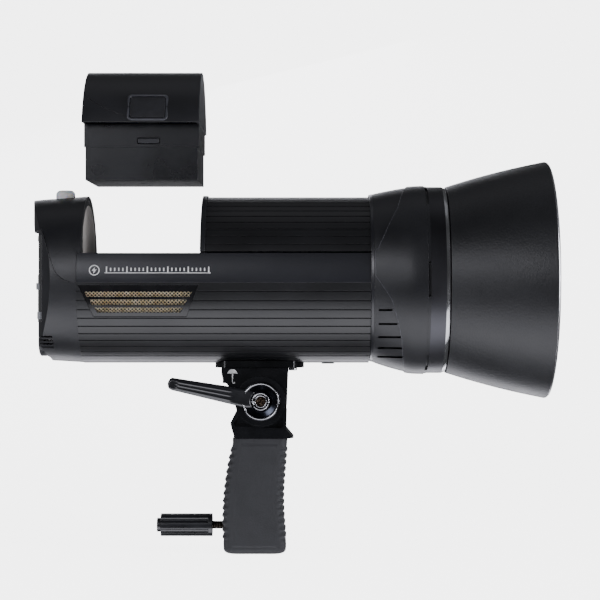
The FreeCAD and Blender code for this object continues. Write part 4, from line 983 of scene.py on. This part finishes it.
def eased(value, low, high):
    """A smooth step between two values."""
    part = min(max((value - low) / (high - low), 0), 1)
    return part * part * (3 - 2 * part)


# The sleeve is a stack of rounded outlines. Ribs beat along its front and rear edges, and a
# smooth panel stands proud on each side.
levels = [0, 0.08, 0.3, 0.7, 1.3, 2.1, 3.0, 4.0, 5.0]
levels += [5 + 0.5 * k for k in range(1, 166)] + [87.8, 88]
form = bmesh.new()
loops = []
for height in levels:
    rear, front, half = grip_edges(height)
    corner = min(6.8, half - 0.5)
    loop = []
    # Each corner with the straight side after it: its end, its outward direction and its steps.
    for turn_start, middle, end, away, steps in (
            (0, (front - corner, half - corner), (rear + corner, half), (0, 1), 26),
            (90, (rear + corner, half - corner), (rear, -half + corner), (-1, 0), 14),
            (180, (rear + corner, -half + corner), (front - corner, -half), (0, -1), 26),
            (270, (front - corner, -half + corner), (front, half - corner), (1, 0), 14)):
        for k in range(15):
            turn = math.radians(turn_start + 90 * k / 14)
            loop.append((middle[0] + corner * math.cos(turn), middle[1] + corner * math.sin(turn),
                         math.cos(turn), math.sin(turn)))
        begin = loop[-1]
        for k in range(1, steps):
            part = k / steps
            loop.append((begin[0] + (end[0] - begin[0]) * part,
                         begin[1] + (end[1] - begin[1]) * part, *away))
    made = []
    for x, y, nx, ny in loop:
        pitch = 5.5 if nx < 0 else 5.0
        beat = abs(math.cos(math.pi * (height - 78.9) / pitch)) ** 3
        span = eased(height, 9, 12) * (1 - eased(height, 79.8, 81.5))
        rib = (1.25 * beat - 0.55) * span * eased(abs(nx), 0.2, 0.75)
        inner = min(x - rear - 6.6, front - 6.4 - x, 83.6 - height, height - 5.4)
        panel = 0.45 * eased(inner, 0, 1.4) * eased(abs(ny), 0.9, 1.0) - 0.25
        out = rib + panel * eased(height, 1.5, 5)
        made.append(form.verts.new(((x + nx * out) / 1000, (y + ny * out) / 1000, height / 1000)))
    loops.append(made)
heel_rings = []
for share, height in ((0.35, 0.0), (0.7, 0.0), (1.0, 0.0), (1.0, 0.5), (1.0, 5.0)):
    ring_made = []
    for vert in loops[0]:
        reach = math.hypot(vert.co.x, vert.co.y)
        target = reach + (0.0107 - reach) * share
        ring_made.append(form.verts.new((vert.co.x * target / reach, vert.co.y * target / reach,
                                         height / 1000)))
    heel_rings.append(ring_made)
inside = [form.verts.new((vert.co.x * 0.8, vert.co.y * 0.8, 0.0878)) for vert in loops[-1]]
under = [form.verts.new((vert.co.x * 0.8, vert.co.y * 0.8, 0.0052)) for vert in loops[-1]]
skinned(form, heel_rings[::-1] + loops + [inside, under])
# The stud's hole goes through the rear of the sleeve.
cutter = bmesh.new()
bore = 0.0045
lying = Matrix.Translation((-0.0255, 0, 0.0209)) @ Matrix.Rotation(math.pi / 2, 4, "Y")
bmesh.ops.create_cone(cutter, cap_ends=True, segments=40, radius1=bore, radius2=bore, depth=0.02,
                      matrix=lying)
piece("grip_rubber_sleeve", carved(form, cutter), "grip", [rubber],
      ["grip_rubber"])
# Turned steel: mid-bright metal.
steel = coated("turned_bare_steel", 4, "#a3a4a5", "#babbbc", (0.2, 0.32), Metallic=1.0)
# Turned brass: warm yellow metal.
brass = coated("turned_brass_insert", 4, "#b08d4a", "#c9a660", (0.25, 0.35), Metallic=1.0)
finished("socket_sleeve", steel)
finished("thread_insert", brass)
finished("clamp_shoe", brass)
# Blackened steel: a dark metal with the fine beat of its thread.
thread_black, tree, shader = finish("blackened_threaded_stud", Metallic=1.0)
place = mottled(tree, shader, 3, "#2e2a26", "#4b443d", (0.3, 0.42))
thread_pitch = 1.25
turns = add(tree, "ShaderNodeTexWave", {"Vector": place, "Scale": 1000 / thread_pitch / 6.283},
            bands_direction="X")
relief = add(tree, "ShaderNodeBump", {"Height": turns.outputs["Fac"], "Distance": 0.0006})
tree.links.new(relief.outputs["Normal"], shader.inputs["Normal"])
finished("clamp_stud", thread_black)
finished("stand_knob", lever_gloss, edge=0.5, steps=3)

# ---- Battery ----
# The battery pack has a curved shell over an ABS case, and completes the tube's round when
# seated. A sprung release button on each side works its catch.

# Battery shell: a finer texture and a shade lighter than the case.
battery_film = coated("fine_texture_battery_shell", 30, "#141518", "#1b1c20", (0.40, 0.5),
                      grain=(0.8, 0.016), IOR=1.5, Coat_Weight=0.1, Coat_Roughness=0.4)
# Battery case: smoother and darker than its shell.
case_abs = coated("moulded_black_battery_case", 25, "#0d0e11", "#131418", (0.26, 0.34),
                  grain=(1.1, 0.03), IOR=1.48)
finished("battery_case", case_abs, edge=0.6, steps=3)
finished("battery_shell", battery_film, edge=0.6, steps=3)
# Button: coarse matt grain under the finger.
button_grip = coated("coarse_textured_button", 8, "#1c1d20", "#26272b", (0.5, 0.62),
                     grain=(1.0, 0.06), IOR=1.5)
for name in ("left", "right"):
    finished("release_button_" + name, button_grip, edge=0.6, steps=3)


def rounded_outline(half_long, half_tall, corner):
    """A rounded rectangle's points, in mm, about its own middle."""
    made = []
    for index, (x, y) in enumerate(((1, 1), (-1, 1), (-1, -1), (1, -1))):
        made += circle((x * (half_long - corner), y * (half_tall - corner)), corner, 8,
                       index * math.pi / 2, math.pi / 2 * 8 / 7)
    return made


# How far the battery is lifted above its seat, in metres.
LIFTED = 0.095

for side, name in SIDES:
    # Each release button gets a raised bezel in the grey above, a painted highlight on the edges of its
    # recess.
    form = bmesh.new()
    loops = []
    for grow, raised in ((-0.1, -0.5), (-0.1, 0.25), (0.4, 0.5), (1.1, 0.5), (1.6, 0.25), (1.6, -0.5)):
        made = []
        for x, y in rounded_outline(13.5 + grow, 10.2 + grow, 2.2 + max(grow, 0)):
            made.append(form.verts.new(((x - 78) / 1000, (y + 34.1) / 1000, raised / 1000)))
        loops.append(made)
    skinned(form, loops)
    onto_round(form, TUBE, LIFTED, 0, side)
    outward(form)
    piece("button_bezel_painted_highlight_" + name, form, "battery", [painted_highlight_grey])
    # A fine dark line across the shell in front of the button is painted shade along the shell's
    # crease.
    form = bmesh.new()
    trail = [(-126.2 + 31.5 * part, 50 - 24 * part ** 0.55) for part in (k / 24 for k in range(25))]
    for (x, y), (x2, y2) in zip(trail, trail[1:]):
        strip(form, [(x, y - 0.22), (x2, y2 - 0.22), (x2, y2 + 0.22), (x, y + 0.22)])
    joined(form)
    onto_round(form, TUBE, LIFTED, 0.00003, side)
    faced(form, side)
    line = piece("shell_crease_painted_shade_" + name, form, "battery", [frame_gloss])
    thickened(line, "line", 0.06)
